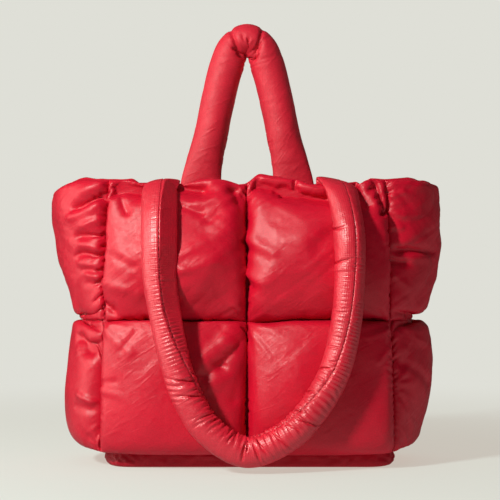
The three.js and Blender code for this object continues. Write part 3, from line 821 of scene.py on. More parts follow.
def wall_grid(wall, steps):
    """The sewn mid-surface of a wall as a grid, with each point's place in its cell."""
    columns = wall["columns"]
    i, j = np.arange(columns * steps + 1), np.arange(2 * steps + 1)
    column, row = np.minimum(i // steps, columns - 1), np.minimum(j // steps, 1)
    crown = 0.5 * (wall["cells"][0]["out"] + wall["cells"][1]["out"])
    share_across = even_shares(CELL_WIDTH, crown, wall["square"][1], steps)[i - steps * column]
    share_up = even_shares(CELL_HEIGHT, crown, wall["upright_square"][0], steps)[j - steps * row]
    s, t = np.meshgrid(share_across, share_up)
    foot, wander = BASE_SEAM_Z + GAP / 2, wall["seed"] + 60
    even = np.linspace(0.0, 1.0, SEAM_POINTS)
    sway = SEAM_SWAY * noise_at(SEAM_WAVES * columns * even, 0 * even, wander) * bell_ends(even)
    swing = np.interp(i / i[-1], even, sway)
    middle = np.broadcast_to(MIDDLE_SEAM_Z + swing, (len(j), len(i)))
    share_up = share_up[:, None]
    z = np.where(row[:, None] == 0, foot + (middle - foot) * share_up, middle + (RIM_Z - middle) * share_up)
    centre = 0.5 + UPRIGHT_SWAY * noise_at((z - BASE_SEAM_Z) / UPRIGHT_WAVE, 0 * z, wander + 1)
    split = np.where(column == 0, centre * share_across, centre + (1 - centre) * share_across)
    u = split if columns == 2 else np.broadcast_to(share_across, z.shape)
    left, _ = wall["surface"](0 * u, z)
    right, _ = wall["surface"](0 * u + 1, z)
    span = np.linalg.norm(right - left, axis=-1)
    trim = GAP / 2 / span
    points, normals = wall["surface"](trim + (1 - 2 * trim) * u, z)
    height = (z - BASE_SEAM_Z) / (RIM_Z - BASE_SEAM_Z)
    ruffle_shape, ruffle_waves = (1, RUFFLE_POINTS * columns + 1), (1, RUFFLE_WAVES * columns)
    ruffle = RUFFLE * value_noise(ruffle_shape, ruffle_waves, wall["seed"] + 3)[0]
    ruffle = np.interp(u, np.linspace(0.0, 1.0, len(ruffle)), ruffle) * bell_ends(u)
    points[..., 2] += height ** WAVE_FADE * wave_at(wall["rim"], u) + height ** RUFFLE_FADE * ruffle
    signs = [np.array([sx, sy, 1.0]) for sx, sy in wall["corners"]]
    mitres = mitre_at(z[:, 0]) * signs[0], mitre_at(z[:, -1]) * signs[1]
    directions = normals.copy()
    directions[:, 0], directions[:, -1] = mitres
    near_rim = smoothstep((z - RIM_Z + RIM_BLEND) / RIM_BLEND)
    half = 0.5 * (SEAM_THICKNESS + (RIM_THICKNESS - SEAM_THICKNESS) * near_rim)
    return {
        "points": points, "normals": normals, "directions": directions, "half": half, "s": s, "t": t,
        "u": u, "z": z, "span": span, "row": row, "column": column, "left": left, "right": right,
        "mitres": mitres, "middle": middle, "centre": (2 * centre - 1) * 0.5 * span,
    }


def wall_planes(wall, grid, side):
    """Planes that a wall's cloth stays behind: corner mitres, quilting seams and the base."""
    shape = grid["points"].shape
    planes = []
    for corner, mitre, facing in zip((grid["left"], grid["right"]), grid["mitres"], (-1, 1)):
        normal = np.stack([mitre[:, 1], -mitre[:, 0], 0 * mitre[:, 0]], -1) * facing
        normal = np.broadcast_to(normal[:, None, :], shape)
        planes.append((corner + GAP / 2 * normal, normal))
    if wall["columns"] == 2:
        sign = np.where(grid["column"] == 0, -1.0, 1.0)[None, :, None]
        normal = np.broadcast_to(sign * ACROSS, shape)
        planes.append((grid["centre"][..., None] * ACROSS + GAP / 2 * normal, normal))
    sign = np.where(grid["row"] == 0, -1.0, 1.0)[:, None, None]
    normal = np.broadcast_to(sign * UP, shape)
    planes.append((grid["middle"][..., None] * UP + GAP / 2 * normal, normal))
    foot = wall["foot"] if side > 0 else BASE_SEAM_Z + GAP / 2
    planes.append((foot * UP, np.broadcast_to(UP, shape)))
    return planes


def fold_share(folded, unfolded, axis):
    """Rest lengths of a cloth that has half of the length its pressed-in folds would need."""
    return 0.5 * (edge_lengths(folded, axis) + edge_lengths(unfolded, axis))


def gathering(distance):
    """How much of a seam's gather is left at a distance from it: tight puckers, then loose folds."""
    tight, loose = (np.exp(-((distance / reach) ** 2)) for reach in (TIGHT_REACH, LOOSE_REACH))
    return (1 - LOOSE_SHARE) * tight + LOOSE_SHARE * loose


def crumple(points, ease, wall):
    """Presses creases into settled cloth: all over its faces, and the streaks that pull from its seams."""
    place = grid_uv(points)
    grid = wall_grid(wall, wall["steps"])
    up = grid["z"] - BASE_SEAM_Z
    lower = (grid["row"] == 0)[:, None]
    at_foot, above = wall["crumple"]
    at_foot = at_foot + CRUMPLE_MORE * smoothstep((grid["t"] - CRUMPLE_FROM) / CRUMPLE_OVER)
    amount = np.where(lower, at_foot, above)
    depth = -fold_depth(wall["streaks"], grid["u"] * grid["span"], up, grid["span"], RIM_Z - BASE_SEAM_Z)
    for turn, length, width, size in CREASES:
        c, s = math.cos(math.radians(turn)), math.sin(math.radians(turn))
        x = (c * place[..., 0] + s * place[..., 1]) / length
        y = (c * place[..., 1] - s * place[..., 0]) / width
        bent = CREASE_BEND * noise_at(CREASE_BEND_SCALE[0] * x, CREASE_BEND_SCALE[1] * y, wall["seed"] + 50)
        ridge = np.abs(noise_at(x, y + bent, wall["seed"] + int(length))) - CREASE_LEVEL
        depth += size * amount * ridge
    return points + (depth * ease)[..., None] * surface_normals(points)


def wall_cloth(wall, steps, side, gather_scale):
    """The cloth of one skin of a wall, outside for side 1 and lining for -1, and its first shape."""
    grid = wall_grid(wall, steps)
    s, t, shape = grid["s"], grid["t"], grid["s"].shape
    columns, seed = wall["columns"], wall["seed"]
    cell = {key: np.array([c[key] for c in wall["cells"]])[grid["row"]][:, None] for key in wall["cells"][0]}
    lowered = t + 2 * cell["sag"] * np.sin(np.pi * t)
    if side > 0:
        at_left, at_middle, at_right = wall["square"]
        first = np.where(grid["column"] == 0, at_left, at_middle)
        last = np.where(grid["column"] == columns - 1, at_right, at_middle)
        rise = puff(s, first, last) * puff(lowered, np.array(wall["upright_square"])[grid["row"]][:, None])
    else:
        rise = puff(s, LINING_SQUARENESS) * puff(lowered, LINING_SQUARENESS)
    core = grid["points"] + side * grid["half"][..., None] * grid["directions"]
    pinned = np.zeros(shape)
    pinned[[0, steps, -1]] = 1.0
    pinned[:, ::steps] = 1.0
    from_upright = np.minimum(s, 1 - s) * grid["span"] / columns
    from_level = np.minimum(t, 1 - t) * CELL_HEIGHT
    from_seam = np.minimum(from_upright, from_level)
    upper = (grid["row"] == 1)[:, None]
    near_upright = gathering(from_upright)
    near_level = gathering(np.where(upper, t, 1 - t) * CELL_HEIGHT)
    near_level = near_level + np.where(upper, 0.0, wall["foot_gather"]) * gathering(t * CELL_HEIGHT)
    near_seam = np.exp(-((from_seam / LOOSE_REACH) ** 2))
    swell = (cell["out"] if side > 0 else cell["lining"]) * rise
    drop = np.zeros(shape)
    if side > 0:
        u_mm, v_mm = grid["u"] * grid["span"], grid["z"] - BASE_SEAM_Z
        furrow = fold_depth(wall["folds"], u_mm, v_mm, grid["span"], RIM_Z - BASE_SEAM_Z)
        counts, fine_counts = ((up, across * columns) for up, across in (WAVE_COUNTS, FINE_WAVE_COUNTS))
        waves = value_noise(shape, counts, seed) + FINE_WAVES * value_noise(shape, fine_counts, seed + 4)
        swell = swell + FILLING_WAVES * waves * rise
        furrow = np.minimum(furrow, FOLD_SHARE * swell)
        drop = cell["droop"] * rise * (1 - t) ** 2
    else:
        furrow = 0.0 * swell
    lowering = drop[..., None] * UP
    loose = np.where(pinned > 0, 0.0, 1.0)[..., None]
    unfolded = core + loose * (side * swell[..., None] * grid["normals"] - lowering)
    offset = side * (swell - furrow)[..., None] * grid["normals"] - lowering
    offset[pinned > 0] = 0.0
    form = core + offset
    height = np.linalg.norm(offset, axis=-1)
    axis = np.where(height[..., None] > LEAST_SWELL, unit(offset), side * grid["normals"])
    spare = SPARE + SPARE * value_noise(shape, SPARE_COUNTS, seed + 1)
    uneven = value_noise(shape, (PATCH_COUNTS[0], PATCH_COUNTS[1] * columns), seed + 2)
    patchy = np.maximum(0.0, PATCHES + PATCHINESS * uneven)
    upright = np.where(upper, wall["upright_gather"][1], wall["upright_gather"][0])
    more_across = spare + gather_scale * wall["level_gather"] * patchy * near_level
    more_along = spare + gather_scale * upright * patchy * near_upright
    ease = np.minimum(1.0, from_seam / FREE_FROM_SEAM)
    sink = np.minimum(SINK_SHARE * height, SINK + SINK_AT_SEAM * near_seam)
    unheld = np.clip(1.0 - furrow / FOLD_HOLD, 0.0, 1.0)
    cloth = {
        "core": core, "axis": axis, "pinned": pinned, "side": side, "least": height - sink,
        "most": height + (RISE + RISE_AT_SEAM * near_seam) * ease * unheld,
        "across": fold_share(form, unfolded, 1) * (1 + between(more_across, 1)),
        "along": fold_share(form, unfolded, 0) * (1 + between(more_along, 0)),
        "planes": wall_planes(wall, grid, side),
    }
    return cloth, form, ease


def settle(make_cloth, steps, seed, rough):
    """Relaxes a cloth from coarse to fine, each time from the last shape and a little unevenness."""
    points = None
    for level, coarse in enumerate(COARSENESS):
        cloth, form, ease = make_cloth(steps // coarse)
        cells = [max(ROUGH_LEAST, count // ROUGH_EVERY) for count in ease.shape]
        uneven = value_noise(ease.shape, cells, seed + level)
        points = form if points is None else twice_as_fine(points)
        points = points + (rough[level] * uneven * ease)[..., None] * cloth["axis"]
        held = cloth["pinned"] > 0
        points[held] = form[held]
        points = relax(cloth, points, level)
    return points


def press_clear(points, normals, route):
    """Presses cloth in where a stuffed handle lies on it."""
    flat = points.reshape(-1, 3).copy()
    inward = -normals.reshape(-1, 3)
    for _ in range(PRESS_PASSES):
        for start in range(0, len(flat), PRESS_BATCH):
            part = slice(start, start + PRESS_BATCH)
            gaps = np.linalg.norm(flat[part][:, None] - route["centres"][None], axis=-1) - route["thick"] / 2
            short = np.maximum(0.0, HANDLE_SPACE - gaps.min(axis=1))
            flat[part] += short[:, None] * inward[part]
    return flat.reshape(points.shape)


def wall_skins(wall, gather):
    """The settled outside and lining of a wall."""
    def outside(steps):
        return wall_cloth(wall, steps, 1, gather)

    def lining(steps):
        return wall_cloth(wall, steps, -1, LINING_GATHER * gather)

    outer = settle(outside, wall["steps"], wall["seed"] + 5, OUTSIDE_ROUGH)
    cloth, _, ease = outside(wall["steps"])
    outer = crumple(outer, ease * (1 - cloth["pinned"]), wall)
    return outer, settle(lining, wall["steps"], wall["seed"] + 9, LINING_ROUGH)


def route_points(rows, steps):
    """A handle's route in even steps: centres, directions, sizes and a carried frame."""
    knots = np.array([[*row.at, row.width, row.thick, row.seam] for row in rows])
    knots = np.concatenate([2 * knots[:1] - knots[1:2], knots, 2 * knots[-1:] - knots[-2:-1]])
    share = np.linspace(0.0, 1.0, ROUTE_POINTS, endpoint=False)[:, None]
    pieces = []
    for a, b, c, d in zip(knots, knots[1:], knots[2:], knots[3:]):
        ab, bc, cd = (math.sqrt(np.linalg.norm((q - p)[:3])) for p, q in ((a, b), (b, c), (c, d)))
        leave = ((b - a) / ab - (c - a) / (ab + bc) + (c - b) / bc) * bc
        arrive = ((c - b) / bc - (d - b) / (bc + cd) + (d - c) / cd) * bc
        cube, square = 2 * (b - c) + leave + arrive, 3 * (c - b) - 2 * leave - arrive
        pieces.append(((cube * share + square) * share + leave) * share + b)
    dense = np.concatenate(pieces + [knots[-2:-1]])
    length = np.concatenate([[0.0], np.cumsum(np.linalg.norm(np.diff(dense[:, :3], axis=0), axis=1))])
    even = np.linspace(0.0, length[-1], steps + 1)
    found = np.stack([np.interp(even, length, dense[:, k]) for k in range(6)], -1)
    centres = found[:, :3]
    along = unit(np.gradient(centres, axis=0))
    carried = np.empty_like(centres)
    across = -ACROSS
    for k, direction in enumerate(along):
        across = unit(across - np.dot(across, direction) * direction)
        carried[k] = across
    twist = math.atan2(np.dot(ACROSS, np.cross(along[-1], carried[-1])), np.dot(ACROSS, carried[-1]))
    angle = (twist * even / even[-1])[:, None]
    across = carried * np.cos(angle) + np.cross(along, carried) * np.sin(angle)
    return {"centres": centres, "along": along, "across": across, "away": np.cross(across, along),
            "length": even, "width": found[:, 3], "thick": found[:, 4], "seam": found[:, 5]}


def line_distance(x, y, start, end):
    """Distance of places in a plane from a line between two points, and how far along it they are."""
    run = np.subtract(end, start)
    share = np.clip(((x - start[0]) * run[0] + (y - start[1]) * run[1]) / np.dot(run, run), 0.0, 1.0)
    return np.hypot(x - start[0] - share * run[0], y - start[1] - share * run[1]), share


def turns_from_seam(around):
    """Places round a handle as shares of a turn from its seam, closer together beside the seam."""
    even = np.arange(around + 1) / around
    return even - SEAM_CLOSENESS * np.sin(2 * np.pi * even) / (2 * np.pi)


def handle_cloth(handle, steps, around):
    """The cloth of a stuffed handle, cut open along its sewn seam, and its first shape."""
    route = route_points(handle["route"], steps)
    turns = turns_from_seam(around)
    fine = steps / handle["steps"]
    angle = np.radians(route["seam"])[:, None] - 2 * np.pi * turns
    inward = 0.5 * (1 + np.sin(angle))
    away = (np.cos(angle) * route["thick"][:, None] / 2)[..., None] * route["away"][:, None]
    sideways = (np.sin(angle) * route["width"][:, None] / 2)[..., None] * route["across"][:, None]
    offset = away - sideways
    x, _, z = route["centres"].T
    stuffed = np.minimum(1.0, route["thick"] / route["width"])
    flat = handle["flat"] * smoothstep(-x / FLAT_ACROSS) * smoothstep((z - FLAT_FROM) / FLAT_OVER)
    flat = flat * smoothstep((stuffed - FLAT_FULLNESS) / FLAT_FULLNESS_OVER)
    facing = math.cos(FLAT_TURN) * route["away"] - math.sin(FLAT_TURN) * route["across"]
    support = 0.5 * np.hypot(math.cos(FLAT_TURN) * route["thick"], math.sin(FLAT_TURN) * route["width"])
    beyond = dot(offset, facing[:, None]) - (support * (1 - flat))[:, None]
    offset = offset - np.maximum(0.0, beyond)[..., None] * facing[:, None]
    plain = route["centres"][:, None] + offset
    axis = surface_normals(plain)
    axis *= np.sign(dot(axis, offset))[..., None]
    full = 0.5 * np.broadcast_to(route["thick"][:, None], axis.shape[:2])
    core = plain - full[..., None] * axis
    nip = 0.0 * full
    for crease in handle["creases"]:
        gap, share = line_distance(plain[..., 0], plain[..., 2], crease.start, crease.end)
        deep = crease.depth[0] + (crease.depth[1] - crease.depth[0]) * share
        nip += deep * np.exp(-((gap / crease.width) ** 2))
    stuffed = stuffed[:, None]
    from_seam = np.minimum(turns, 1 - turns)[None] * np.pi * route["width"][:, None]
    groove = np.exp(-((from_seam / SEAM_GROOVE) ** 2))
    height = full - np.minimum(nip, NIP_SHARE * full) - handle["groove"] * groove * stuffed
    form = core + height[..., None] * axis
    pinned = np.zeros(full.shape)
    pinned[[0, -1]] = 1.0
    pinned[:, [0, -1]] = 1.0
    loose = 1 - between(flat, 0)[:, None] / max(handle["flat"], TINY)
    along = edge_lengths(plain, 0)
    longest = along.max(axis=1, keepdims=True)
    near_seam = np.exp(-((between(from_seam, 0) / SPARE_REACH) ** 2))
    bent = np.clip((longest / along.mean(axis=1, keepdims=True) - BEND_FROM) / BEND_OVER, 0.0, 1.0)
    slip = inward * np.concatenate([bent[:1], bent])
    ease = stuffed * (1 - groove)
    sink, rise = (a + (b + c * slip) * ease for a, b, c in (HANDLE_SINK, HANDLE_RISE))
    spare = handle["bend_slack"] * loose * (longest - along) + handle["seam_slack"] * along * near_seam
    cloth = {
        "core": core, "axis": axis, "pinned": pinned, "planes": [], "side": 1,
        "least": height - sink, "most": height + rise,
        "across": edge_lengths(form, 1) * ROUND_SPARE, "along": along + fine * spare,
        "from_seam": from_seam, "length": route["length"],
    }
    return cloth, form, ease


# How a handle is stuffed: its route and creases, steps along and round it, spare length in its bends and
# beside its seam, unevenness that it settles from, depth of its ruching and of its seam's groove, and how
# flat it lies
HANDLES = {
    "front_handle": {
        "route": FRONT_ROUTE, "creases": FRONT_CREASES, "steps": 768, "around": 56, "bend_slack": 0.55,
        "seam_slack": 0.05, "rough": (0.8, 0.4, 0.2), "ruching": 0.75, "groove": 0.8, "flat": 0.4, "seed": 71,
    },
    "back_handle": {
        "route": BACK_ROUTE, "creases": BACK_CREASES, "steps": 320, "around": 64, "bend_slack": 0.3,
        "seam_slack": 0.02, "rough": (0.5, 0.4, 0.25), "ruching": 0.1, "groove": 0.6, "flat": 0.0, "seed": 83,
    },
}


def stuffed_handle(handle):
    """The settled grid of a handle, with fine ruching beside its seam and wider ruching in its bend."""
    around, steps, seed = handle["around"], handle["steps"], handle["seed"]

    def make_cloth(count):
        return handle_cloth(handle, count, around * count // steps)

    points = settle(make_cloth, steps, seed, handle["rough"])
    cloth, _, ease = make_cloth(steps)
    z, length, from_seam = points[..., 2], cloth["length"][:, None], cloth["from_seam"]
    low = smoothstep((RUCHING_FROM - z) / RUCHING_OVER)
    bend = smoothstep((BEND_BELOW - z) / BEND_DEEPENS)
    away = (from_seam - RUCHING_PLACE) / (RUCHING_WIDTH + RUCHING_WIDER * low)
    beside = (RUCHING_ABOVE + (1 - RUCHING_ABOVE) * low) * np.exp(-(away ** 2))
    wider = bend * np.exp(-(((from_seam - BEND_PLACE) / BEND_WIDTH) ** 2))
    drift = value_noise(ease.shape, (steps // DRIFT_NOISE[0], DRIFT_NOISE[1]), seed + 6)
    uneven = value_noise(ease.shape, (steps // SIZE_NOISE[0], SIZE_NOISE[1]), seed + 7)
    size = RUCHING_SIZE + RUCHING_UNEVEN * uneven
    ripple = np.sin(2 * np.pi * length / RUCHING_PITCH + RUCHING_DRIFT * drift) * size
    stray = value_noise(ease.shape, (steps // STRAY_NOISE[0], STRAY_NOISE[1]), seed + 9)
    gather = np.abs(np.sin(np.pi * length / BEND_PITCH + BEND_DRIFT * stray)) - BEND_LEVEL
    ripple = ripple * beside + BEND_RUCHING * (BEND_SIZE + BEND_UNEVEN * drift) * gather * wider
    rub = RUB * value_noise(ease.shape, (steps // RUB_NOISE[0], around // RUB_NOISE[1]), seed + 8)
    return points + (handle["ruching"] * ripple * ease + rub * ease)[..., None] * cloth["axis"]


def srgb(code):
    """A colour in linear light from its sRGB hex code."""
    parts = [int(code[k:k + 2], 16) / 255 for k in (0, 2, 4)]
    return [c / 12.92 if c <= 0.04045 else ((c + 0.055) / 1.055) ** 2.4 for c in parts]


def node(tree, kind, inputs=None, **settings):
    """Adds a node with its settings, and its inputs set or linked."""
    made = tree.nodes.new(kind)
    for key, value in settings.items():
        setattr(made, key, value)
    for key, value in (inputs or {}).items():
        if isinstance(value, bpy.types.NodeSocket):
            tree.links.new(value, made.inputs[key])
        else:
            made.inputs[key].default_value = value
    return made


def new_material(name):
    """An empty node material and its tree."""
    made = bpy.data.materials.new(name)
    made.use_nodes = True
    made.node_tree.nodes.clear()
    return made, made.node_tree


def coated_nylon(name, colour, roughness, gloss, crinkle, thread=THREAD_SPACING, weave_depth=0.35):
    """Plain-woven nylon with a soft polyurethane coat: even satin colour, broad highlights over the
    puffs that small creases break up, and a faint grain of threads."""
    made, tree = new_material(name)
    uv = node(tree, "ShaderNodeUVMap", uv_map="cloth").outputs["UV"]
    place = node(tree, "ShaderNodeTexCoord").outputs["Object"]
    blotch = node(tree, "ShaderNodeTexNoise", {"Vector": place, "Scale": 1 / TONE_PATCH, "Detail": 3.0})
    fleck = node(tree, "ShaderNodeTexNoise", {"Vector": uv, "Scale": 1 / DYE_FLECK, "Detail": 1.0})
    dimple = node(tree, "ShaderNodeTexNoise", {"Vector": place, "Scale": 1 / DIMPLE_SIZE, "Detail": 3.0})
    ridged = {"noise_type": "RIDGED_MULTIFRACTAL", "normalize": True}
    creases = node(tree, "ShaderNodeTexNoise", {
        "Vector": place, "Scale": 1 / CRINKLE_SIZE, "Detail": 2.0, "Distortion": 0.6}, **ridged)
    slanted = node(tree, "ShaderNodeMapping", {
        "Vector": uv, "Rotation": (0.0, 0.0, STREAK_TURN), "Scale": STREAK_SIZE}, vector_type="TEXTURE")
    streaks = node(tree, "ShaderNodeTexNoise", {
        "Vector": slanted.outputs["Vector"], "Scale": 1.0, "Detail": 2.0, "Distortion": 0.8}, **ridged)
    threads = {"Vector": uv, "Scale": BAND_SPACING / thread, "Distortion": 0.8}
    weft = node(tree, "ShaderNodeTexWave", threads, bands_direction="X")
    warp = node(tree, "ShaderNodeTexWave", threads, bands_direction="Y")
    weave = node(tree, "ShaderNodeMath", {0: weft.outputs["Fac"], 1: warp.outputs["Fac"]}, operation="ADD")
    tone = node(tree, "ShaderNodeMath", {0: blotch.outputs["Fac"], 1: fleck.outputs["Fac"]}, operation="ADD")
    tint = node(tree, "ShaderNodeMapRange", {
        "Value": tone.outputs["Value"], "From Min": 0.6, "From Max": 1.4, "To Min": 0.0, "To Max": 1.0})
    hue = node(tree, "ShaderNodeMix", {
        "Factor": tint.outputs["Result"], 6: [c * DEEPER for c in colour] + [1.0],
        7: [min(1.0, c * PALER) for c in colour] + [1.0]}, data_type="RGBA")
    shine = node(tree, "ShaderNodeMapRange", {
        "Value": dimple.outputs["Fac"], "From Min": 0.3, "From Max": 0.7,
        "To Min": roughness - 0.05, "To Max": roughness + 0.08})
    pressed = {}
    for height, strength, distance in (
            (creases.outputs["Fac"], crinkle, CRINKLE_DEPTH),
            (streaks.outputs["Fac"], crinkle, STREAK_DEPTH),
            (dimple.outputs["Fac"], DIMPLE_SHARE * crinkle, DIMPLE_DEPTH),
            (weave.outputs["Value"], weave_depth, THREAD_DEPTH)):
        bump = node(tree, "ShaderNodeBump", {
            "Height": height, "Strength": strength, "Distance": distance, **pressed})
        pressed = {"Normal": bump.outputs["Normal"]}
    skin = node(tree, "ShaderNodeBsdfPrincipled", {
        "Base Color": hue.outputs[2], "Roughness": shine.outputs["Result"], "IOR": 1.5,
        "Specular IOR Level": gloss, **pressed})
    node(tree, "ShaderNodeOutputMaterial", {"Surface": skin.outputs["BSDF"]})
    return made


def sewing_thread(colour):
    """Twisted polyester thread: matt, a shade deeper than the cloth, ridged by its ply."""
    made, tree = new_material("polyester_sewing_thread")
    place = node(tree, "ShaderNodeTexCoord").outputs["Object"]
    ply = node(tree, "ShaderNodeTexNoise", {"Vector": place, "Scale": 1 / PLY_SIZE, "Detail": 2.0})
    bump = node(tree, "ShaderNodeBump", {
        "Height": ply.outputs["Fac"], "Strength": 0.4, "Distance": PLY_DEPTH})
    skin = node(tree, "ShaderNodeBsdfPrincipled", {
        "Base Color": [*colour, 1.0], "Roughness": 0.75, "Normal": bump.outputs["Normal"]})
    node(tree, "ShaderNodeOutputMaterial", {"Surface": skin.outputs["BSDF"]})
    return made


def cloth_mesh(name, points, faces, uvs, material):
    """A smooth mesh object at the origin, from millimetres, with its cloth UV in metres."""
    mesh = bpy.data.meshes.new(name)
    mesh.from_pydata((np.asarray(points) * MM).tolist(), [], [list(map(int, face)) for face in faces])
    layer = mesh.uv_layers.new(name="cloth")
    corners = np.empty(len(mesh.loops), dtype=np.int32)
    mesh.loops.foreach_get("vertex_index", corners)
    layer.data.foreach_set("uv", (np.asarray(uvs)[corners] * MM).astype(np.float32).ravel())
    mesh.polygons.foreach_set("use_smooth", np.ones(len(mesh.polygons), dtype=bool))
    mesh.materials.append(material)
    mesh.validate()
    mesh.update()
    made = bpy.data.objects.new(name, mesh)
    bpy.context.scene.collection.objects.link(made)
    return made


def grid_uv(points):
    """Distances along the cloth from its first row and column, in millimetres."""
    across = np.concatenate([[0.0], np.cumsum(edge_lengths(points, 1).mean(axis=0))])
    along = np.concatenate([[0.0], np.cumsum(edge_lengths(points, 0).mean(axis=1))])
    return np.stack(np.meshgrid(across, along), -1)


def quads(ids):
    """Faces between the neighbouring rows and columns of a grid of vertices."""
    return np.stack([ids[:-1, :-1], ids[:-1, 1:], ids[1:, 1:], ids[1:, :-1]], -1).reshape(-1, 4).tolist()


def tube_faces(rows, columns):
    """Faces of a tube with a ring of vertices in each row, and of its two flat ends."""
    ids = np.arange(rows * columns).reshape(rows, columns)
    return quads(np.concatenate([ids, ids[:, :1]], axis=1)) + [ids[0][::-1].tolist(), ids[-1].tolist()]


def padded_wall(name, outer, inner, material):
    """Closed wall: outer skin, rolled hem over the rim, lining, and strips along the seams."""
    top_out, top_in = outer[-1], inner[-1]
    middle, reach = 0.5 * (top_out + top_in), 0.5 * (top_out - top_in)
    up = HEM_RISE * UP * np.linalg.norm(reach, axis=-1, keepdims=True)
    angles = np.pi * np.arange(1, HEM_ROWS + 1) / (HEM_ROWS + 1)
    hem = np.array([middle + math.cos(a) * reach + math.sin(a) * up for a in angles])
    points = np.concatenate([outer, hem, inner[::-1]])
    rows, columns = points.shape[:2]
    ids = np.arange(rows * columns).reshape(rows, columns)
    faces = quads(np.concatenate([ids, ids[:1]]))
    for column, turned in ((0, False), (columns - 1, True)):
        skin, lining = ids[:len(outer), column], ids[::-1][:len(inner), column]
        strip = [[a, b, d, c] for a, b, c, d in zip(skin, skin[1:], lining, lining[1:])]
        strip.append([skin[-1], *ids[len(outer):len(outer) + HEM_ROWS, column], lining[-1]])
        faces += [face[::-1] for face in strip] if turned else strip
    uvs = grid_uv(points).reshape(-1, 2)
    return cloth_mesh(name, points.reshape(-1, 3), faces, uvs, material)


def closed_tube(name, points, material):
    """Closed handle: a tube joined along its seam, with flat sewn ends."""
    rows, columns = points.shape[0], points.shape[1] - 1
    uvs = grid_uv(points)[:, :-1].reshape(-1, 2)
    return cloth_mesh(name, points[:, :-1].reshape(-1, 3), tube_faces(rows, columns), uvs, material)


def stitch_tree():
    """Geometry nodes that lay even stitches along a path."""
    tree = bpy.data.node_groups.new("stitch_row", "GeometryNodeTree")
    tree.interface.new_socket("Path", in_out="INPUT", socket_type="NodeSocketGeometry")
    for name in ("Pitch", "Length", "Radius"):
        socket = tree.interface.new_socket(name, in_out="INPUT", socket_type="NodeSocketFloat")
        socket.subtype = "DISTANCE"
    tree.interface.new_socket("Thread", in_out="INPUT", socket_type="NodeSocketMaterial")
    tree.interface.new_socket("Stitches", in_out="OUTPUT", socket_type="NodeSocketGeometry")
    given = node(tree, "NodeGroupInput").outputs
    curve = node(tree, "GeometryNodeMeshToCurve", {"Mesh": given["Path"]})
    even = node(tree, "GeometryNodeResampleCurve", {
        "Curve": curve.outputs["Curve"], "Length": given["Pitch"]}, mode="LENGTH")
    ball = node(tree, "GeometryNodeMeshUVSphere", {"Segments": 6, "Rings": 5, "Radius": given["Radius"]})
    half = node(tree, "ShaderNodeMath", {0: given["Length"], 1: 0.5}, operation="MULTIPLY")
    slim = node(tree, "ShaderNodeMath", {0: half.outputs["Value"], 1: given["Radius"]}, operation="DIVIDE")
    size = node(tree, "ShaderNodeCombineXYZ", {"X": 1.0, "Y": 1.0, "Z": slim.outputs["Value"]})
    stitch = node(tree, "GeometryNodeTransform", {
        "Geometry": ball.outputs["Mesh"], "Scale": size.outputs["Vector"]})
    tangent = node(tree, "GeometryNodeInputTangent").outputs["Tangent"]
    turn = node(tree, "FunctionNodeAlignRotationToVector", {"Vector": tangent}, axis="Z")
    laid = node(tree, "GeometryNodeInstanceOnPoints", {
        "Points": even.outputs["Curve"], "Instance": stitch.outputs["Geometry"],
        "Rotation": turn.outputs["Rotation"]})
    jitter = node(tree, "FunctionNodeRandomValue", {
        "Min": (-STITCH_TURN, -STITCH_TURN, 0.0), "Max": (STITCH_TURN, STITCH_TURN, 0.0), "Seed": 5,
    }, data_type="FLOAT_VECTOR")
    uneven = node(tree, "GeometryNodeRotateInstances", {
        "Instances": laid.outputs["Instances"], "Rotation": jitter.outputs["Value"]})
    real = node(tree, "GeometryNodeRealizeInstances", {"Geometry": uneven.outputs["Instances"]})
    smooth = node(tree, "GeometryNodeSetShadeSmooth", {"Geometry": real.outputs["Geometry"]})
    sewn = node(tree, "GeometryNodeSetMaterial", {
        "Geometry": smooth.outputs["Geometry"], "Material": given["Thread"]})
    node(tree, "NodeGroupOutput", {"Stitches": sewn.outputs["Geometry"]})
    return tree


def stitch_rows(name, points, settings):
    """Stitches beside a handle's seam: towards the loop on the first leg, and away from it on the other."""
    end, middle = len(points) // STITCH_FREE_PART, len(points) // 2
    lines = [points[end:middle, STITCH_ROW], points[middle:-end, -1 - STITCH_ROW]]
    edges = [(k, k + 1) for k in range(sum(map(len, lines)) - 1) if k + 1 != len(lines[0])]
    mesh = bpy.data.meshes.new(name)
    mesh.from_pydata((np.concatenate(lines) * MM).tolist(), edges, [])
    made = bpy.data.objects.new(name, mesh)
    bpy.context.scene.collection.objects.link(made)
    tree = stitch_tree()
    sewing = made.modifiers.new("stitches", "NODES")
    sewing.node_group = tree
    values = {
        "Pitch": settings.stitch_pitch, "Length": STITCH_LENGTH * MM, "Radius": STITCH_RADIUS * MM,
        "Thread": sewing_thread(list(settings.thread_colour)),
    }
    for socket in tree.interface.items_tree:
        if socket.name in values:
            sewing[socket.identifier] = values[socket.name]
    made.update_tag()
    ready = made.evaluated_get(bpy.context.evaluated_depsgraph_get())
    made.data = bpy.data.meshes.new_from_object(ready)
    made.modifiers.clear()
    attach(made, "root")


def dress(piece, name):
    """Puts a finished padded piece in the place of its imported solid."""
    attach(piece, "root")
    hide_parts(name)


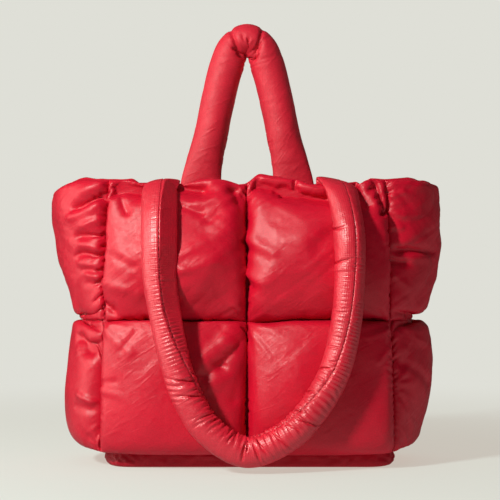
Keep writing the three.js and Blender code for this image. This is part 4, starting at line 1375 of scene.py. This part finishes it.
def base_ring(inset, corner):
    """Outline of the base drawn in from its seam: bowed ends, rounded corners and straight long sides."""
    plan = plan_at(BASE_SEAM_Z)
    x, y, bow = plan["half_width"] - inset, plan["half_depth"] - inset, plan["bow"]
    lead = 2 * bow * corner / y
    turns = (
        ((x - corner, -y), (x, -y), (x + lead, -y + corner), CORNER_STEPS),
        ((x + lead, -y + corner), (x + 2 * bow - lead, 0.0), (x + lead, y - corner), END_STEPS),
        ((x + lead, y - corner), (x, y), (x - corner, y), CORNER_STEPS),
        ((x - corner, y), (0.0, y), (corner - x, y), LONG_STEPS),
    )
    pieces = []
    for *ends, steps in turns:
        a, b, c = np.array(ends)
        share = np.arange(steps)[:, None] / steps
        pieces.append((1 - share) ** 2 * a + 2 * share * (1 - share) * b + share ** 2 * c)
    right = np.concatenate(pieces)
    return np.concatenate([right, -right])


def padded_base():
    """Rings of points over the base, with its edge creased and its left end drawn in."""
    table = BASE_EDGE + BASE_TOP
    outlines = [base_ring(row.inset, row.corner) for row in table]
    rings = np.array([np.insert(line, 2, row.z, axis=1) for line, row in zip(outlines, table)])
    step = np.arange(rings.shape[1])
    fullest = rings[np.argmin([row.inset for row in BASE_EDGE])]
    outward = unit(np.gradient(fullest, axis=0)[:, [1, 0, 2]] * (1.0, -1.0, 0.0))
    up = rings[..., 2] / BASE_SEAM_Z
    around = step * BASE_FOLDS / len(step) + 0.0 * up
    finer = noise_at(BASE_FINER * around - BASE_FINER_SLANT * up, up, BASE_SEED + 1)
    crease = np.abs(noise_at(around + BASE_SLANT * up, up, BASE_SEED)) + BASE_FINER_SHARE * finer - BASE_LEVEL
    crease *= smoothstep(np.minimum(step, step[::-1]) / BASE_FADE_STEPS)
    share = np.array([row.crease for row in table])[:, None]
    edge = rings[:len(BASE_EDGE)]
    edge[..., 0] += BASE_DRAWN_IN * smoothstep((-edge[..., 0] - BASE_DRAWN_FROM) / BASE_DRAWN_OVER)
    return rings + (BASE_CREASE * share * crease)[..., None] * outward


class ToteSettings(bpy.types.PropertyGroup):
    """Sizes and colours of the tote that a user would change."""

    shell_colour: FloatVectorProperty(
        name="Shell colour", description="Coated nylon of the walls and base", subtype="COLOR",
        size=3, min=0.0, max=1.0, default=srgb("C60C2B"))
    handle_colour: FloatVectorProperty(
        name="Handle colour", description="Coated nylon of the stuffed handles", subtype="COLOR",
        size=3, min=0.0, max=1.0, default=srgb("D01B33"))
    thread_colour: FloatVectorProperty(
        name="Thread colour", description="Sewing thread along the handle seam", subtype="COLOR",
        size=3, min=0.0, max=1.0, default=srgb("B42638"))
    shell_roughness: FloatProperty(
        name="Shell roughness", description="How matt the coat of the cloth is", subtype="FACTOR",
        min=0.0, max=1.0, default=0.4)
    gather: FloatProperty(
        name="Gather", description="How much cloth is eased into the seams, 1 as sewn", subtype="FACTOR",
        min=0.0, max=2.0, default=1.0)
    stitch_pitch: FloatProperty(
        name="Stitch pitch", description="Distance from one stitch to the next", subtype="DISTANCE",
        unit="LENGTH", min=0.001, default=0.0029)
    key_power: FloatProperty(
        name="Key light", description="Power of the light at the left", subtype="POWER", min=0.0,
        default=52.0)
    top_power: FloatProperty(
        name="Top light", description="Power of the large light overhead", subtype="POWER", min=0.0,
        default=10.0)
    sheen_power: FloatProperty(
        name="Left sheen", description="Power of the wide light at the left, seen only in the cloth's sheen",
        subtype="POWER", min=0.0, default=27.0)


class TOTE_OT_walls(bpy.types.Operator):
    """Sew and fill the four quilted walls"""

    bl_idname = "tote.walls"
    bl_label = "Quilted walls"

    def execute(self, context):
        settings = context.scene.tote
        colour, roughness = list(settings.shell_colour), settings.shell_roughness
        material = coated_nylon("coated_nylon_shell", colour, roughness, gloss=0.35, crinkle=0.3)
        handle = route_points(FRONT_ROUTE, PRESS_POINTS)
        for name, wall in WALLS.items():
            outer, inner = wall_skins(wall, settings.gather)
            if name == "front_panel":
                outer = press_clear(outer, wall_grid(wall, wall["steps"])["normals"], handle)
            if wall["turned"]:
                outer, inner = outer * HALF_ROUND, inner * HALF_ROUND
            dress(padded_wall(name + "_quilted", outer, inner, material), name)
        return {"FINISHED"}


class TOTE_OT_base(bpy.types.Operator):
    """Pad the boxed base"""

    bl_idname = "tote.base"
    bl_label = "Padded base"

    def execute(self, context):
        settings = context.scene.tote
        # The base's red is darkened as painted shade, for the shade under the walls' overhang
        colour = [BASE_PAINTED_SHADE * c for c in settings.shell_colour]
        roughness = settings.shell_roughness + BASE_ROUGHER
        material = coated_nylon("coated_nylon_base", colour, roughness, gloss=0.25, crinkle=0.4)
        points = padded_base()
        uvs = points[..., :2] + points[..., 2:] * (0.0, 1.0)
        faces = tube_faces(*points.shape[:2])
        made = cloth_mesh("base_panel_padded", points.reshape(-1, 3), faces, uvs.reshape(-1, 2), material)
        dress(made, "base_panel")
        return {"FINISHED"}


class TOTE_OT_handles(bpy.types.Operator):
    """Stuff the long front handle and the short back handle, and stitch the seam of the long one"""

    bl_idname = "tote.handles"
    bl_label = "Stuffed handles"

    def execute(self, context):
        settings = context.scene.tote
        colour, roughness = list(settings.handle_colour), settings.shell_roughness
        materials = {
            "front_handle": coated_nylon("coated_nylon_handle", colour, roughness, gloss=0.75, crinkle=0.22,
                                         thread=HANDLE_THREAD_SPACING, weave_depth=0.65),
            "back_handle": coated_nylon("brushed_nylon_handle", colour, roughness + BACK_HANDLE_ROUGHER,
                                        gloss=0.4, crinkle=0.4),
        }
        for name, handle in HANDLES.items():
            points = stuffed_handle(handle)
            dress(closed_tube(name + "_stuffed", points, materials[name]), name)
            if name == "front_handle":
                stitch_rows("front_handle_stitches", points, settings)
        return {"FINISHED"}


def area_light(lamp, power):
    """A soft square light that looks at a point."""
    light = bpy.data.lights.new(lamp.name, "AREA")
    light.shape = "SQUARE"
    light.size = lamp.size
    light.energy = power
    light.color = lamp.colour
    made = bpy.data.objects.new(lamp.name, light)
    made.location = lamp.place
    made.rotation_euler = (Vector(lamp.aim) - Vector(lamp.place)).to_track_quat("-Z", "Y").to_euler()
    made.visible_glossy = lamp.without != "glossy"
    made.visible_diffuse = lamp.without != "diffuse"
    bpy.context.scene.collection.objects.link(made)


def flagged(tree, strength):
    """Strength of pale surroundings that are full to the camera, and are kept out of most reflections, as
    black flags round a studio table do."""
    ray = node(tree, "ShaderNodeLightPath").outputs
    kept = node(tree, "ShaderNodeMapRange", {"Value": ray["Is Glossy Ray"], "To Min": 1.0, "To Max": FLAGGED})
    dimmed = node(tree, "ShaderNodeMath", {0: strength, 1: kept.outputs["Result"]}, operation="MULTIPLY")
    bright = node(tree, "ShaderNodeMath", {
        0: dimmed.outputs["Value"], 1: ray["Is Camera Ray"]}, operation="MAXIMUM")
    return bright.outputs["Value"]


def studio_floor():
    """Wide pale floor: matt where the bag's shadow falls, and evenly bright further out."""
    turns = np.linspace(0.0, 2 * math.pi, FLOOR_SIDES, endpoint=False)
    rim = [(FLOOR_RADIUS * math.cos(a), FLOOR_RADIUS * math.sin(a), 0.0) for a in turns]
    mesh = bpy.data.meshes.new("studio_floor")
    mesh.from_pydata(rim, [], [list(range(len(rim)))])
    made, tree = new_material("painted_studio_floor")
    place = node(tree, "ShaderNodeTexCoord").outputs["Object"]
    reach = node(tree, "ShaderNodeVectorMath", {0: place}, operation="LENGTH")
    far = node(tree, "ShaderNodeMapRange", {
        "Value": reach.outputs["Value"], "From Min": 0.3, "From Max": 1.2}, interpolation_type="SMOOTHSTEP")
    split = node(tree, "ShaderNodeSeparateXYZ", {"Vector": place})
    near = node(tree, "ShaderNodeMapRange", {
        "Value": split.outputs["Y"], "From Min": -1.1, "From Max": -0.45, "To Min": 0.5, "To Max": 1.0,
    }, interpolation_type="SMOOTHSTEP")
    bright = flagged(tree, near.outputs["Result"])
    paint = node(tree, "ShaderNodeBsdfPrincipled", {
        "Base Color": [*srgb(FLOOR_PAINT), 1.0], "Roughness": 1.0, "Specular IOR Level": 0.0,
        "Emission Color": [*srgb(FLOOR_GLOW), 1.0], "Emission Strength": bright})
    glow = node(tree, "ShaderNodeEmission", {"Color": [*srgb(PALE), 1.0], "Strength": bright})
    both = node(tree, "ShaderNodeMixShader", {"Fac": far.outputs["Result"]})
    tree.links.new(paint.outputs["BSDF"], both.inputs[1])
    tree.links.new(glow.outputs["Emission"], both.inputs[2])
    node(tree, "ShaderNodeOutputMaterial", {"Surface": both.outputs["Shader"]})
    mesh.materials.append(made)
    floor = bpy.data.objects.new("studio_floor", mesh)
    bpy.context.scene.collection.objects.link(floor)


def studio_world():
    """Pale surroundings, which light the bag softly from behind and hardly from the front."""
    world = bpy.data.worlds.new("studio_fill")
    world.use_nodes = True
    tree = world.node_tree
    tree.nodes.clear()
    toward = node(tree, "ShaderNodeTexCoord").outputs["Generated"]
    split = node(tree, "ShaderNodeSeparateXYZ", {"Vector": toward})
    behind = node(tree, "ShaderNodeMapRange", {
        "Value": split.outputs["Y"], "From Min": 0.3, "From Max": 0.7, "To Min": 0.03, "To Max": 0.9,
    }, interpolation_type="SMOOTHSTEP")
    bright = flagged(tree, behind.outputs["Result"])
    glow = node(tree, "ShaderNodeBackground", {"Color": [*srgb(PALE), 1.0], "Strength": bright})
    node(tree, "ShaderNodeOutputWorld", {"Surface": glow.outputs["Background"]})
    return world


class TOTE_OT_stage(bpy.types.Operator):
    """Set the pale floor, the soft lights and the camera"""

    bl_idname = "tote.stage"
    bl_label = "Studio"

    def execute(self, context):
        settings = context.scene.tote
        scene = context.scene
        studio_floor()
        for lamp in LIGHTS:
            area_light(lamp, getattr(settings, lamp.power))
        scene.world = studio_world()
        scene.view_settings.view_transform = "Standard"
        lens = bpy.data.cameras.new("camera")
        lens.sensor_width = SENSOR_WIDTH
        lens.lens = SENSOR_WIDTH * FOCAL_PIXELS / PICTURE_PIXELS
        lens.clip_end = CAMERA_REACH
        camera = bpy.data.objects.new("camera", lens)
        camera.location = CAMERA_PLACE
        camera.rotation_euler = (math.pi / 2, 0.0, 0.0)
        scene.collection.objects.link(camera)
        scene.camera = camera
        return {"FINISHED"}


class TOTE_PT_panel(bpy.types.Panel):
    """Lists the steps that make the tote"""

    bl_idname = "TOTE_PT_panel"
    bl_label = "Quilted puffer tote"
    bl_space_type = "VIEW_3D"
    bl_region_type = "UI"
    bl_category = "Tote"

    def draw(self, context):
        for operator in OPERATORS:
            self.layout.operator(operator.bl_idname)
        for key in ToteSettings.__annotations__:
            self.layout.prop(context.scene.tote, key)


OPERATORS = (TOTE_OT_stage, TOTE_OT_walls, TOTE_OT_base, TOTE_OT_handles)
CLASSES = (ToteSettings, *OPERATORS, TOTE_PT_panel)


def register():
    """Registers the classes and the scene's settings."""
    for cls in CLASSES:
        bpy.utils.register_class(cls)
    bpy.types.Scene.tote = PointerProperty(type=ToteSettings)


def unregister():
    """Removes the classes and the scene's settings."""
    del bpy.types.Scene.tote
    for cls in reversed(CLASSES):
        bpy.utils.unregister_class(cls)


def main():
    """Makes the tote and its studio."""
    register()
    bpy.ops.tote.stage()
    bpy.ops.tote.walls()
    bpy.ops.tote.base()
    bpy.ops.tote.handles()


if __name__ == "__main__":
    main()
